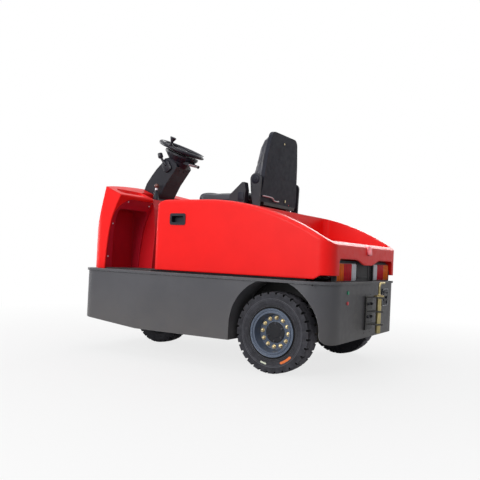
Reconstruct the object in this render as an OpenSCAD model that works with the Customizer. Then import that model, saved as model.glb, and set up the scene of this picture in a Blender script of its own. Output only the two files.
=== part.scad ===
// Three-wheel electric baggage tug with a tilting hood, one steered front wheel and a pin hitch.
// Modules work in axle coordinates: X forward from the rear axle, Y left, Z up from the floor.
// at_axle() places them so that the whole vehicle is centred on the origin.
// The cowl, its liner and the steering measure X from the steered wheel's axis, with at_kingpin().

/* [Output] */
// sub-part to draw, or all

/* [Hull] */
// width over the skirt plates
hull_w = 1090; // [1000:5:1180]
// rear face of the skirt behind the rear axle
rear_face = 325; // [280:5:360]
// front of the skirt on the centre line, ahead of the steered wheel's axis
front_overhang = 227; // [222:1:260]
// radius of the bowed front in plan
nose_r = 2600; // [2200:10:3000]
// plan radius of the rear corners
rear_corner_r = 160; // [100:5:200]
// plan radius of the front corners
front_corner_r = 90; // [60:5:120]
// thickness of the skirt plate
skirt_t = 10; // [6:1:14]
// lower edge of the skirt along the sides
skirt_low = 154; // [140:1:180]
// lower edge of the skirt behind the rear wheels
skirt_low_rear = 172; // [160:1:200]
// height of the deck surface
deck_z = 480; // [470:1:500]
// thickness of the deck plate
deck_t = 14; // [10:1:18]
// overhang of the deck over the skirt
deck_lip = 8; // [4:1:12]

/* [Arches] */
// centre of the wheel arch ahead of the axle
arch_x = -20; // [-30:1:-10]
// height of the arch centre
arch_z = 235; // [225:1:245]
// radius of the arch
arch_r = 246; // [240:1:252]
// width of the flange inside the arch
flange_w = 165; // [120:5:175]
// thickness of the arch flange
flange_t = 8; // [5:1:10]

/* [Wheels] */
// wheelbase
wheelbase = 1093; // [1080:1:1100]
// rear tyre outside diameter
rear_od = 415; // [405:1:425]
// rear tyre width
rear_w = 112; // [100:1:116]
// distance of a rear wheel's middle plane from the centre line
rear_y = 438; // [430:1:442]
// front tyre outside diameter
front_od = 386; // [370:1:392]
// front tyre width
front_w = 107; // [96:1:110]
// radius of the rim flange
rim_r = 123; // [118:1:126]
// radius of the rim barrel
barrel_r = 117; // [112:1:118]
// bore of the wheel hubs
hub_bore = 40; // [36:1:44]
// radial running clearance between a shaft and its bore
shaft_gap = 0.08; // [0.05:0.01:0.1]
// number of tread lugs round a tyre
lugs = 28; // [24:1:30]
// depth of the slots between the lugs at the shoulder
slot_depth = 14; // [8:1:16]

/* [Cowl, measured from the steered wheel's axis] */
// width of the cowl
cowl_w = 1010; // [980:5:1040]
// front of the cowl on the centre line
cowl_tip = 201; // [195:1:206]
// height of the cowl's top at its side, at the front
cowl_top = 967; // [950:1:980]
// back wall of the foot recesses
recess_x = 112; // [100:1:114]
// half width of the arched liner in the cowl's rear face
niche_y = 496; // [490:1:498]
// height of the arched liner
niche_z = 898; // [890:1:900]

/* [Steering, measured from the steered wheel's axis] */
// steering wheel diameter over the rim
steer_d = 310; // [290:5:340]
// steering wheel centre behind the steered wheel's axis
steer_back = 88; // [75:1:100]
// steering wheel centre height
steer_z = 1270; // [1255:1:1285]
// tilt of the steering wheel from level
steer_tilt = 23; // [18:1:28]
// width of the column cover
column_w = 150; // [130:2:170]

/* [Hood] */
// width of the hood
hood_w = 1030; // [1000:5:1040]
// rear face of the hood behind the axle
hood_rear = 320; // [310:1:324]
// front face of the hood at the floor
hood_front = 774; // [760:1:780]
// highest line of the hood
hood_top = 885; // [870:1:900]
// lower edge of the hood
hood_low = 492; // [488:1:496]
// where the top begins to fall to the rear
hood_break = 430; // [410:5:450]
// radius of the falling top
hood_arc = 1380; // [1340:10:1440]
// radius of the rounded upper edges
hood_edge = 20; // [12:1:26]
// wall of the hood
hood_t = 8; // [6:1:10]
// front wall of the load tray
tray_front = 170; // [160:1:180]
// floor of the load tray
tray_floor = 610; // [605:1:620]
// half width of the load tray
tray_y = 470; // [460:1:475]
// hinge axis of the hood behind the rear axle
hinge_x = 290; // [285:1:295]
// hinge axis height
hinge_z = 532; // [528:1:536]

/* [Seat] */
// half width of the seat cushion
seat_y = 225; // [210:1:235]
// rear face of the back shell ahead of the axle
shell_x = 260; // [254:1:264]
// top of the seat back
seat_top = 1318; // [1290:1:1340]
// lean of the seat back
seat_lean = 3.5; // [3:0.5:5]

/* [Hitch] */
// pin axis behind the rear axle
pin_x = 389; // [382:1:396]
// diameter of the hitch pin
pin_d = 28; // [24:1:30]
// clearance of the pin in the jaw plates, on the diameter
pin_gap = 1; // [0.6:0.1:2]
// radius of the jaw plates' noses about the pin
jaw_nose = 30; // [26:1:34]
// width of the jaw at its foot
jaw_w = 100; // [90:2:120]
// thickness of a jaw plate
jaw_t = 8; // [6:1:10]

/* [Hidden] */
$fn = 64;

nose_x = wheelbase + front_overhang;
jaw_x = pin_x + jaw_nose;
overall_l = nose_x + jaw_x + deck_lip;
axle_x = jaw_x - overall_l / 2;
rear_r = rear_od / 2;
front_r = front_od / 2;
shaft_d = hub_bore - 2 * shaft_gap;
red = "#e0201c";
grey = "#58585b";
black = "#1d1e22";
eps = 0.01;

// heights of the three jaw plates' lower faces
jaw_levels = [246, 316, 392];
jaw_low = 216;
jaw_high = 400;
// tail lamp lenses: name, inner and outer distance from the centre line
lens_in = [310, 200, 137];
lens_out = [400, 310, 200];
lens_z0 = 484;
lens_z1 = 573;
panel_x = -285;
lens_depth = 15;

module at_axle() {
    translate([axle_x, 0, 0]) children();
}

module at_kingpin() {
    translate([axle_x + wheelbase, 0, 0]) children();
}

module both_sides() {
    children();
    mirror([0, 1, 0]) children();
}

// a side profile drawn in X and Z, extruded across the vehicle between two Y values
module across(y0, y1) {
    translate([0, y1, 0]) rotate([90, 0, 0]) linear_extrude(y1 - y0) children();
}

// an end profile drawn in Y and Z, extruded along the vehicle between two X values
module along(x0, x1) {
    translate([x0, 0, 0]) rotate([90, 0, 90]) linear_extrude(x1 - x0) children();
}

// a plan drawn in X and Y, extruded between two heights
module upright(z0, z1) {
    translate([0, 0, z0]) linear_extrude(z1 - z0) children();
}

module rounded_square(w, h, r) {
    translate([r, 0]) square([w - 2 * r, h]);
    translate([0, r]) square([w, h - 2 * r]);
    for (x = [r, w - r])
        for (y = [r, h - r])
            translate([x, y]) circle(r);
}

// rod between two points
module rod(a, b, r) {
    v = b - a;
    l = norm(v);
    translate(a) rotate([0, acos(v[2] / l), atan2(v[1], v[0])]) cylinder(h = l, r = r);
}

// plan outline with rounded corners that run into a bowed front; the inset t moves every edge inwards
module plan(xr, tip, w, rr, rf, t = 0) {
    y = w / 2 - t;
    r1 = rr - t;
    r2 = rf - t;
    x0 = xr + t;
    xc = tip - nose_r;
    x1 = xc + sqrt(pow(nose_r - rf, 2) - pow(w / 2 - rf, 2));
    y1 = (w / 2 - rf) * (nose_r - t) / (nose_r - rf);
    translate([x0 + r1, -y]) square([x1 - x0 - r1, 2 * y]);
    translate([x0, -y + r1]) square([r1 + 1, 2 * (y - r1)]);
    for (s = [-1, 1]) {
        translate([x0 + r1, s * (y - r1)]) circle(r1, $fn = 72);
        translate([x1, s * (y - r2)]) circle(r2, $fn = 72);
    }
    intersection() {
        translate([xc, 0]) circle(nose_r - t, $fn = 360);
        translate([x1 - 1, -y1]) square([rf + 200, 2 * y1]);
    }
}

module hull_plan(t = 0) {
    plan(-rear_face, nose_x, hull_w, rear_corner_r, front_corner_r, t);
}

module cowl_plan(t = 0) {
    plan(-193, cowl_tip, cowl_w, 10, 80, t);
}

// hull

module arch_shape(r) {
    translate([arch_x, arch_z]) circle(r, $fn = 96);
    translate([arch_x - r, skirt_low - 20]) square([2 * r, arch_z - skirt_low + 20]);
}

arch_corner_r = 50;
module skirt() color(grey) at_axle() {
    difference() {
        union() {
            upright(skirt_low, deck_z - deck_t) difference() {
                hull_plan();
                hull_plan(skirt_t);
            }
            intersection() {
                both_sides() across(hull_w / 2 - flange_w, hull_w / 2)
                    difference() {
                        arch_shape(arch_r + flange_t);
                        arch_shape(arch_r);
                    }
                upright(skirt_low, deck_z - deck_t) hull_plan();
            }
        }
        both_sides() across(hull_w / 2 - rear_corner_r, hull_w / 2 + 20) arch_shape(arch_r);
        translate([-rear_face - 20, -hull_w, skirt_low - 20])
            cube([rear_face + 20 + arch_x - arch_r + 10, 2 * hull_w, skirt_low_rear - skirt_low + 20]);
        // rounded lower corner behind the arch
        both_sides() across(300, hull_w) translate([arch_x - arch_r - arch_corner_r, skirt_low_rear]) difference() {
            translate([0, -10]) square([arch_corner_r + 20, arch_corner_r + 10]);
            translate([0, arch_corner_r]) circle(arch_corner_r);
        }
        across(-hull_w, hull_w) polygon([[wheelbase - 243, skirt_low - 20], [nose_x + 20, skirt_low - 20],
            [nose_x + 20, skirt_low + 46], [wheelbase + 133, skirt_low + 36], [wheelbase - 243, skirt_low]]);
    }
}

module deck() color(grey) at_axle() {
    upright(deck_z - deck_t, deck_z) difference() {
        hull_plan(-deck_lip);
        translate([battery_x0 - 10, -battery_y - 5]) square([battery_x1 - battery_x0 + 20, 2 * battery_y + 10]);
    }
}

mat_t = 6;
module floor_mat() color(black) at_axle() {
    upright(deck_z, deck_z + mat_t) difference() {
        translate([hood_front + 26, -490]) square([wheelbase + edge_line[0][0] - hood_front - 26, 980]);
        translate([wheelbase + ped_x, -ped_y0 - 3]) square([300, 2 * ped_y0 + 6]);
    }
}

rail_y0 = 270;
rail_y1 = 330;
rail_z = 366;
battery_x0 = 200;
battery_x1 = 700;
battery_y = 260;
battery_z0 = 200;
battery_z1 = 740;
tray_t = 8;

module frame() color(black) at_axle() {
    top = deck_z - deck_t;
    both_sides() translate([-rear_face + skirt_t, rail_y0, rail_z])
        cube([wheelbase + 147 + rear_face - skirt_t, rail_y1 - rail_y0, top - rail_z]);
    intersection() {
        for (x = [battery_x0 + 80, wheelbase - 293, wheelbase - 163])
            translate([x, -hull_w / 2, top - 70]) cube([50, hull_w, 70]);
        difference() {
            upright(0, top) hull_plan(skirt_t);
            translate([battery_x0 - 12, -rail_y0, 0]) cube([battery_x1 - battery_x0 + 24, 2 * rail_y0, 900]);
        }
    }
    intersection() {
        translate([wheelbase + 127, -hull_w / 2, top - 70]) cube([40, hull_w, 70]);
        upright(0, top) hull_plan(skirt_t);
    }
    translate([battery_x0 - 10, -rail_y0, battery_z0 - tray_t])
        cube([battery_x1 - battery_x0 + 20, 2 * rail_y0, tray_t]);
    both_sides() translate([battery_x0 - 10, battery_y + 2, battery_z0 - tray_t])
        cube([battery_x1 - battery_x0 + 20, rail_y0 - battery_y - 2, rail_z - battery_z0 + 40]);
}

module battery() color("#3b4048") at_axle() {
    translate([battery_x0, -battery_y, battery_z0])
        cube([battery_x1 - battery_x0, 2 * battery_y, battery_z1 - battery_z0]);
}

axle_end = 372;
cap_z = 9;
stub_end = rear_y + cap_z - 1;
module rear_axle() color("#2b2c2f") at_axle() {
    translate([0, 0, rear_r]) rotate([90, 0, 0]) {
        cylinder(r = 34, h = 2 * axle_end - 24, center = true);
        cylinder(r = 100, h = 120, center = true);
        cylinder(r = 70, h = 190, center = true);
        cylinder(d = shaft_d, h = 2 * stub_end, center = true);
        for (s = [-1, 1])
            translate([0, 0, s * (axle_end - 12)]) cylinder(r = 62, h = 24, center = true);
    }
    both_sides() translate([-35, rail_y0 + 5, rear_r]) cube([70, rail_y1 - rail_y0 - 10, rail_z - rear_r]);
}

motor_l = 190;
module drive_motor() color("#44464c") at_axle() {
    difference() {
        translate([-95 - motor_l, 0, rear_r + 40]) rotate([0, 90, 0]) cylinder(r = 82, h = motor_l + 40);
        translate([0, 0, rear_r]) rotate([90, 0, 0]) cylinder(r = 100, h = 300, center = true);
        translate([0, 0, rear_r]) rotate([90, 0, 0]) cylinder(r = 70, h = 300, center = true);
    }
}

// rear end

module lamp_panel() color("#333438") at_axle() {
    along(panel_x, panel_x + 6) translate([-404, deck_z]) square([808, 108]);
    translate([panel_x + 6, -404, deck_z]) cube([30, 808, 5]);
}

module lens(k) {
    both_sides() along(panel_x - lens_depth, panel_x)
        translate([lens_in[k], lens_z0]) square([lens_out[k] - lens_in[k], lens_z1 - lens_z0]);
}

module lens_amber() color("#d8702a") at_axle() lens(0);
module lens_red() color("#a81c2c") at_axle() lens(1);
module lens_clear() color("#c9ccd2") at_axle() lens(2);

jog_y = 300;
jog_z = [425, 372];
module jog_button(z) {
    translate([-rear_face, jog_y, z]) rotate([0, -90, 0]) cylinder(r = 9, h = 5);
}
module jog_green() color("#2f8f6a") at_axle() jog_button(jog_z[0]);
module jog_red() color("#c84048") at_axle() jog_button(jog_z[1]);

socket_y = -280;
socket_z = 384;
module rear_socket() color("#202125") at_axle() {
    along(-rear_face - 6, -rear_face) translate([socket_y - 50, socket_z - 50]) difference() {
        rounded_square(100, 100, 12);
        translate([12, 12]) rounded_square(76, 76, 6);
    }
    along(-rear_face - 3, -rear_face) translate([socket_y - 38, socket_z - 38]) square([76, 76]);
}

// jaw plate: from the full width at its foot to a round nose about the pin
module jaw_plan() {
    d = [pin_x - rear_face - 6, jaw_w / 2 - 2];
    a = atan2(d[1], d[0]) + acos(jaw_nose / norm(d));
    t = 0.98 * jaw_nose * [cos(a), sin(a)];
    translate([-pin_x, 0]) {
        circle(jaw_nose);
        polygon([[d[0], -d[1]], d, t, [t[0], -t[1]]]);
    }
}

module hitch_jaw() color("#2a2b2e") at_axle() {
    difference() {
        union() {
            translate([-rear_face - 12, -jaw_w / 2, jaw_low]) cube([12, jaw_w, jaw_high - jaw_low]);
            for (z = jaw_levels)
                upright(z, z + jaw_t) jaw_plan();
        }
        translate([-pin_x, 0, 0]) cylinder(d = pin_d + pin_gap, h = 600);
    }
}

handle_d = 13;
module hitch_pin() color("#c9b878") at_axle() {
    translate([-pin_x, 0, 202]) cylinder(d = pin_d, h = jaw_high - 202);
    translate([-pin_x, 0, jaw_high]) cylinder(d = 56, h = 6);
    translate([-pin_x, 0, jaw_high]) cylinder(d = handle_d, h = 54);
    translate([-pin_x, -20, jaw_high + 54]) rotate([90, 0, 90]) rotate_extrude(angle = 90) translate([20, 0]) circle(d = handle_d, $fn = 32);
    translate([-pin_x, -20, jaw_high + 74]) rotate([90, 0, 0]) cylinder(d = handle_d, h = 60);
}

// front end

ring_r = 110;
ring_z = 452;
king_d = 60;
module slew_ring() color("#3a3b40") at_axle() {
    translate([wheelbase, 0, ring_z]) difference() {
        cylinder(r = ring_r, h = deck_z - deck_t - ring_z);
        translate([0, 0, -1]) cylinder(d = king_d + 2 * shaft_gap, h = 40);
    }
}

crown_z = 425;
leg_y = front_w / 2 + 12;
leg_t = 12;
module fork() color("#26272b") at_axle() translate([wheelbase, 0, 0]) {
    translate([0, 0, crown_z]) cylinder(r = 100, h = ring_z - 5 - crown_z);
    translate([0, 0, crown_z]) cylinder(d = king_d, h = ring_z + 10 - crown_z);
    both_sides() across(leg_y, leg_y + leg_t) {
        translate([-38, front_r]) square([76, crown_z - front_r + 5]);
        translate([0, front_r]) circle(38);
    }
    translate([0, 0, front_r]) rotate([90, 0, 0]) {
        cylinder(d = shaft_d, h = 2 * leg_y + 4, center = true);
        for (s = [-1, 1])
            translate([0, 0, s * (leg_y + leg_t + 6)]) cylinder(r = 17, h = 14, center = true);
    }
}

// rear edge of the cowl from the deck up: distance from the steered wheel's axis and height
edge_line = [[51, 480], [45, 580], [36, 666], [26, 722], [13, 778], [-3, 819], [-22, 860], [-49, 909]];
lean = 14.1;
bow_r = 1300;
module bow(inset) {
    translate([cowl_tip + 33, 0, 720]) rotate([0, -lean, 0]) translate([-bow_r, 0, -600])
        cylinder(r = bow_r - inset, h = 1200, $fn = 240);
}

// outer form of the cowl: side profile, plan and a leaning bowed front together
module cowl_form() {
    intersection() {
        across(-cowl_w / 2, cowl_w / 2) polygon([[237, deck_z], [237, cowl_top + 0.4 * 171],
            [-47, cowl_top - 0.4 * 113], [-51, 916], for (i = [len(edge_line) - 1:-1:0]) edge_line[i]]);
        upright(deck_z, 1100) cowl_plan();
        bow(0);
    }
}

// all that lies behind the rear edge line moved forward by d
module behind_edge(d) {
    top = edge_line[len(edge_line) - 1];
    across(-hull_w / 2, hull_w / 2) polygon([[-293, 440], [edge_line[0][0] + d, 440],
        for (p = edge_line) [p[0] + d, p[1]], [top[0] + d - 22, top[1] + 40], [-293, top[1] + 40]]);
}

module niche_shape(y, top, r) {
    translate([-y, 400]) square([2 * y, top - r - 400]);
    translate([-y + r, 400]) square([2 * (y - r), top - 400]);
    for (s = [-1, 1])
        translate([s * (y - r), top - r]) circle(r);
}

// mouth of a foot recess, grown by t
module foot_shape(t) {
    polygon([[210 - t, 486 - t], [442 + t, 486 - t], [469 + t, 810], [439, 840 + t], [240, 840 + t], [210 - t, 810]]);
    for (y = [240, 439])
        translate([y, 810]) circle(30 + t);
}

liner_seam = 0.3;
liner_inset = 3;
liner_t = 10;
cup_t = 4;
notch_y = 212;
notch_z = 856;
notch_x = 63;
module notch() {
    upright(notch_z, 1100) translate([-193, -notch_y]) rounded_square(193 + notch_x, 2 * notch_y, 30);
}

module cowl() color(red) at_kingpin() {
    difference() {
        cowl_form();
        // place of the liner's border
        intersection() {
            along(-293, 120) niche_shape(niche_y + liner_seam, niche_z + liner_seam, 110);
            behind_edge(liner_inset + liner_t + liner_seam);
        }
        // room for the foot recesses
        intersection() {
            along(-20, recess_x + cup_t + 2) difference() {
                niche_shape(niche_y - 16, niche_z - 30, 60);
                translate([-222, 846]) square([444, 100]);
            }
            bow(12);
        }
        column_form();
        ped_form(liner_seam);
        both_sides() translate([19, 336, 0]) upright(niche_z + 14, 1100) pocket_shape();
        notch();
    }
}

module pocket_shape() {
    translate([-36, -80]) square([72, 160]);
    for (s = [-1, 1])
        translate([0, s * 80]) circle(36);
}

module liner() color("#a8151d") at_kingpin() {
    difference() {
        union() {
            difference() {
                intersection() {
                    along(-293, 120) intersection() {
                        niche_shape(niche_y, niche_z, 110);
                        translate([-500, deck_z]) square([1000, 500]);
                    }
                    behind_edge(liner_inset + liner_t);
                }
                behind_edge(liner_inset);
            }
            both_sides() difference() {
                intersection() {
                    along(-60, recess_x + cup_t) foot_shape(cup_t);
                    bow(14);
                }
                behind_edge(liner_inset + 1);
            }
        }
        both_sides() intersection() {
            along(-90, recess_x) foot_shape(0);
            bow(18);
        }
        column_form();
        ped_form(liner_seam);
        notch();
    }
}

ped_x = -59;
ped_front = 62;
ped_y0 = 206;
ped_y1 = 180;
lever_z = 925;
// block between the foot recesses that carries the levers, grown by c
module ped_form(c) {
    low = c > 0 ? deck_z - 1 : deck_z;
    intersection() {
        across(-ped_y0 - 20, ped_y0 + 20) polygon([[ped_front + c, low], [ped_x + 6, low], [ped_x, 700],
            [-35, 860], [-11, lever_z + c], [ped_front + c, lever_z + c]]);
        along(-193, 107) polygon([[-ped_y0 - c, low], [ped_y0 + c, low], [ped_y1 + c, 955], [-ped_y1 - c, 955]]);
    }
}

module pedestal() color(red) at_kingpin() {
    difference() {
        ped_form(0);
        column_form();
    }
}

lamp_y = 330;
lamp_z = 700;
module headlamps() color("#d5d8de") at_kingpin() {
    both_sides() intersection() {
        translate([107, lamp_y, lamp_z]) rotate([0, 90, 0]) cylinder(r = 55, h = 200);
        difference() {
            upright(600, 800) cowl_plan(-8);
            upright(599, 801) cowl_plan(0);
        }
    }
}

module column_form() {
    across(-column_w / 2, column_w / 2) polygon([[25, 867], [157, 900], [158, 984], [134, 1040], [95, 1091],
        [56, 1135], [15, 1172], [-10, 1204], [-41, 1208], [-105, 1166], [-112, 1146], [-74, 1096], [-32, 1042],
        [27, 940]]);
}

module column() color(black) at_kingpin() column_form();

module steer_axis() {
    translate([-steer_back, 0, steer_z]) rotate([0, -steer_tilt, 0]) children();
}

module pod_form() {
    steer_axis() translate([-15, 0, -110]) cylinder(r1 = 66, r2 = 76, h = 36);
    steer_axis() translate([-15, 0, -75]) cylinder(r1 = 76, r2 = 112, h = 37);
    steer_axis() translate([-15, 0, -39]) cylinder(r = 112, h = 12);
}

shaft_steer = 24;
module pod() color("#25262b") at_kingpin() {
    difference() {
        pod_form();
        column_form();
        steer_axis() translate([0, 0, -62]) cylinder(d = shaft_steer + 2 * shaft_gap, h = 200);
    }
}

module switch_pad() color(black) at_kingpin() {
    difference() {
        steer_axis() translate([-128, -45, -72]) cube([54, 90, 18]);
        pod_form();
    }
}

module direction_lever() color(black) at_kingpin() {
    foot = [-28, column_w / 2, 1160];
    knob = [6, column_w / 2 + 22, 1206];
    translate(foot) rotate([-90, 0, 0]) cylinder(r = 12, h = 10);
    rod(foot + [0, 8, 0], knob, 5);
    rod(knob, knob + [6, 4, 28], 15);
}

module brake_lever() color(black) at_kingpin() {
    foot = [26, 104, lever_z];
    translate(foot) cylinder(r1 = 16, r2 = 11, h = 26);
    rod(foot + [0, 0, 20], [24, 104, 1012], 6);
    translate([22, 104, 1020]) sphere(r = 15);
}

// accelerator, then brake: distance from the centre line and width of the pad
pedal_y = [-400, -290];
pedal_w = [64, 84];
pedal_x = 25;
pedal_z = 600;
module pedals() color(black) at_kingpin() {
    for (i = [0, 1])
        translate([pedal_x, pedal_y[i], pedal_z]) {
            rotate([0, -35, 0]) translate([-5, -pedal_w[i] / 2, -50]) cube([10, pedal_w[i], 100]);
            rotate([0, 90, 0]) cylinder(r = 9, h = recess_x - pedal_x);
        }
}

// hood

module hood_profile(t = 0) {
    r = 90 - t;
    difference() {
        union() {
            translate([hood_break, hood_low - 100]) square([hood_front - t - hood_break, hood_top - t - hood_low + 100]);
            intersection() {
                translate([hood_break, hood_top - hood_arc]) circle(hood_arc - t, $fn = 360);
                translate([-hood_rear - 40, hood_low - 100]) square([hood_rear + 40 + hood_break, 500]);
            }
        }
        translate([hood_front - t - r, hood_top - t - r]) difference() {
            square([r + 1, r + 1]);
            circle(r, $fn = 96);
        }
        polygon([[hood_front - t, hood_low], [hood_front + 10, hood_low], [hood_front + 10, hood_top],
            [hood_front - t - 24, hood_top]]);
    }
}

module hood_plan(t = 0) {
    y = hood_w / 2 - t;
    r1 = 80 - t;
    r2 = 40 - t;
    x0 = -hood_rear + t;
    x1 = hood_front - t;
    translate([x0 + r1, -y]) square([x1 - r2 - x0 - r1, 2 * y]);
    translate([x0, -y + r1]) square([r1 + 1, 2 * (y - r1)]);
    translate([x1 - r2 - 1, -y + r2]) square([r2 + 1, 2 * (y - r2)]);
    for (s = [-1, 1]) {
        translate([x0 + r1, s * (y - r1)]) circle(r1, $fn = 72);
        translate([x1 - r2, s * (y - r2)]) circle(r2, $fn = 48);
    }
}

// removes the square edge outside a quarter circle along the hood's upper side edges
module edge_cutters() {
    r = hood_edge;
    both_sides() {
        translate([hood_break, hood_w / 2 - r + 0.1, hood_top - r + 0.1]) rotate([90, 0, 90]) linear_extrude(400) difference() {
            square([r + 5, r + 5]);
            circle(r, $fn = 48);
        }
        translate([hood_break, 0, hood_top - hood_arc]) rotate([90, 0, 0]) rotate([0, 0, 90])
            rotate_extrude(angle = 40, $fn = 360) mirror([0, 1]) translate([hood_arc - r + 0.1, hood_w / 2 - r + 0.1]) difference() {
                square([r + 5, r + 5]);
                circle(r, $fn = 48);
            }
    }
}

// opening for the lamps in the rear face: its upper edge dips in the middle
cut_out_z = 595;
dip = 28;
function dip_at(y) = dip * (1 + cos(180 * min(1, max(0, (abs(y) - 40) / 150)))) / 2;
module cut_out_shape() {
    polygon([[-post_y, 400], [post_y, 400], [post_y, cut_out_z - 13], [post_y - 11, cut_out_z],
        for (y = [190:-10:-190]) [y, cut_out_z - dip_at(y)], [11 - post_y, cut_out_z], [-post_y, cut_out_z - 13]]);
}

module hood() color(red) at_axle() {
    difference() {
        intersection() {
            across(-hood_w / 2, hood_w / 2) hood_profile();
            upright(hood_low, 1000) hood_plan();
        }
        edge_cutters();
        // inside ahead of the tray
        intersection() {
            across(-hood_w / 2 + hood_t, hood_w / 2 - hood_t) hood_profile(hood_t);
            upright(hood_low - 1, 1000) hood_plan(hood_t);
            translate([tray_front + hood_t, -600, 0]) cube([800, 1200, 1000]);
        }
        // inside under the tray, round the hinge posts
        upright(hood_low - 1, tray_floor - hood_t) intersection() {
            hood_plan(hood_t);
            difference() {
                translate([-400, -600]) square([700, 1200]);
                for (s = [-1, 1])
                    translate([-400, s > 0 ? post_y : -600]) square([400 - hinge_x + 28, 600 - post_y]);
            }
        }
        translate([-hinge_x, 0, hinge_z]) rotate([90, 0, 0])
            cylinder(d = hinge_d + 2 * shaft_gap, h = 2 * 442, center = true);
        // load tray
        upright(tray_floor, 1000) translate([-hood_rear + 30, -tray_y])
            rounded_square(hood_rear - 30 + tray_front, 2 * tray_y, 40);
        // opening for the lamps
        along(-hood_rear - 10, -hood_rear + 130) cut_out_shape();
        // raised lower edge round the hinge corners
        across(-hull_w, hull_w) polygon([[-hood_rear - 10, 470], [-195, 470], [-262, 512], [-hood_rear - 10, 512]]);
        // handle cups
        both_sides() across(hood_w / 2 - 20, hood_w / 2 + 1) translate([handle_at[0] + 8.7, handle_at[1] + 10.7])
            rounded_square(88.6, 42.6, 11.3);
    }
}

// lower rear corner of a handle's flange: distance ahead of the axle and height
handle_at = [554, 743];
cup_depth = 30;
module hood_handles() color(black) at_axle() {
    both_sides() translate([handle_at[0], 0, handle_at[1]]) difference() {
        union() {
            across(hood_w / 2, hood_w / 2 + 4) rounded_square(106, 64, 12);
            across(hood_w / 2 - cup_depth, hood_w / 2 + 1) translate([9, 11]) rounded_square(88, 42, 11);
        }
        across(hood_w / 2 - cup_depth + 3, hood_w / 2 + 5) translate([12, 14]) rounded_square(82, 36, 8);
    }
}

module hood_latch() color(red) at_axle() {
    translate([-hood_rear - 9, -44, 614]) cube([9, 88, 46]);
}

bracket_y = 404;
bracket_t = 6;
post_y = 412;
hinge_d = 12;
module hood_hinges() color(black) at_axle() {
    both_sides() {
        translate([-hinge_x - 14, bracket_y, deck_z]) cube([28, bracket_t, hinge_z - deck_z]);
        translate([-hinge_x, bracket_y, hinge_z]) rotate([-90, 0, 0]) cylinder(r = 14, h = bracket_t);
        translate([-hinge_x, bracket_y, hinge_z]) rotate([-90, 0, 0]) cylinder(d = hinge_d, h = 36);
    }
}

// seat

seat_base_h = 18;
module seat_base() color(black) at_axle() {
    translate([shell_x - 6, -190, hood_top]) cube([430, 380, seat_base_h]);
}

module cushion() color(black) at_axle() {
    across(-seat_y, seat_y) translate([300, hood_top + seat_base_h]) rounded_square(424, 54, 24);
}

module shell_frame() {
    translate([shell_x, 0, hood_top + 15]) rotate([0, -seat_lean, 0]) children();
}

shell_t = 22;
shell_corner_r = 45;
// half outline of the seat back: half width and height, from the foot to the shoulder
back_half = [[190, -20], [218, -20], [218, 50], [205, 132], [188, 260]];
// shoulder and upper corner of the seat back by its height h, drawn inwards by d
function back_corner(h, d) = [for (a = [10:16:90])
    [119 - d + shell_corner_r * cos(a), h - d - shell_corner_r + shell_corner_r * sin(a)]];
function back_outline(h, d) = concat([for (p = back_half) [p[0] - d, p[1]]], back_corner(h, d));
module back_plan(h, d) {
    q = back_outline(h, d);
    polygon([for (p = q) p, for (i = [len(q) - 1:-1:0]) [-q[i][0], q[i][1]]]);
}

module back_shell() color(black) at_axle() {
    difference() {
        shell_frame() along(0, shell_t) back_plan(seat_top - hood_top - 15, 0);
        translate([0, -400, hood_top - 100]) cube([500, 800, 100 + seat_base_h]);
    }
}

module back_pad() color(black) at_axle() shell_frame() {
    h = seat_top - hood_top - 15;
    intersection() {
        across(-205, 205) polygon([[shell_t, 80], [92, 92], [98, 170], [92, 240], [80, 320], [60, 388], [40, h - 10],
            [shell_t, h - 8]]);
        along(0, 120) back_plan(h, 14);
    }
}

module seat_arms() color(black) at_axle() {
    both_sides() across(seat_y + 6, seat_y + 20) difference() {
        union() {
            polygon([[254, hood_top - 20], [292, hood_top - 20], [312, 960], [318, 1027], [250, 1027]]);
            translate([284, 1027]) circle(34);
        }
        translate([hood_break, hood_top - hood_arc]) circle(hood_arc, $fn = 360);
    }
}

module belt_reels() color(black) at_axle() {
    both_sides() across(seat_y + 20, seat_y + 58) translate([0, hood_top])
        polygon([[330, 0], [430, 0], [428, 50], [348, 121], [332, 121], [322, 75]]);
}

// moving parts

module steering_wheel() color(black) at_kingpin() steer_axis() {
    rotate_extrude($fn = 96) translate([steer_d / 2 - 13, 0]) circle(r = 13, $fn = 24);
    translate([0, 0, -26]) cylinder(r = 40, h = 30);
    translate([0, 0, -58]) cylinder(d = shaft_steer, h = 40);
    for (a = [0, 120, 240])
        rotate([0, 0, a]) translate([30, -14, -14]) cube([steer_d / 2 - 13 - 30, 28, 8]);
    rotate([0, 0, 96]) translate([steer_d / 2 - 13, 0, 8]) {
        cylinder(r = 8, h = 20);
        translate([0, 0, 20]) cylinder(r = 19, h = 36);
    }
}

// one ring of a tyre's points: places in a lug pitch, radius on and between lugs, offset, turn in pitches
function tyre_ring(at, lug_r, gap_r, y, turn) = [for (k = [0:lugs - 1]) for (j = [0:len(at) - 1])
    let (a = 360 / lugs * (k + at[j] + turn), q = j > 1 ? gap_r : lug_r) [q * cos(a), y, q * sin(a)]];
// faces between two rings with the same number of points
function strip(a, b, n) = [for (c = [0:n - 1]) for (f = [[a + c, a + (c + 1) % n, b + c],
    [a + (c + 1) % n, b + (c + 1) % n, b + c]]) f];
// faces of one lug pitch between bead points b and tread points v
function fan(b, v) = [[b[0], v[1], v[0]], [b[0], b[1], v[1]], [b[1], v[2], v[1]], [b[1], v[3], v[2]],
    [b[1], b[2], v[3]], [b[2], v[4], v[3]]];
// faces between a bead ring of two points a pitch and a tread ring of four, the bead's first point moved on by s
function bead_strip(bead, tread, s) = [for (k = [0:lugs - 1]) for (f = fan(
    [for (j = [0:2]) bead + (2 * k + j + s) % (2 * lugs)],
    [for (j = [0:4]) tread + (4 * k + j) % (4 * lugs)])) f];
function turned(faces) = [for (f = faces) [f[0], f[2], f[1]]];

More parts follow.
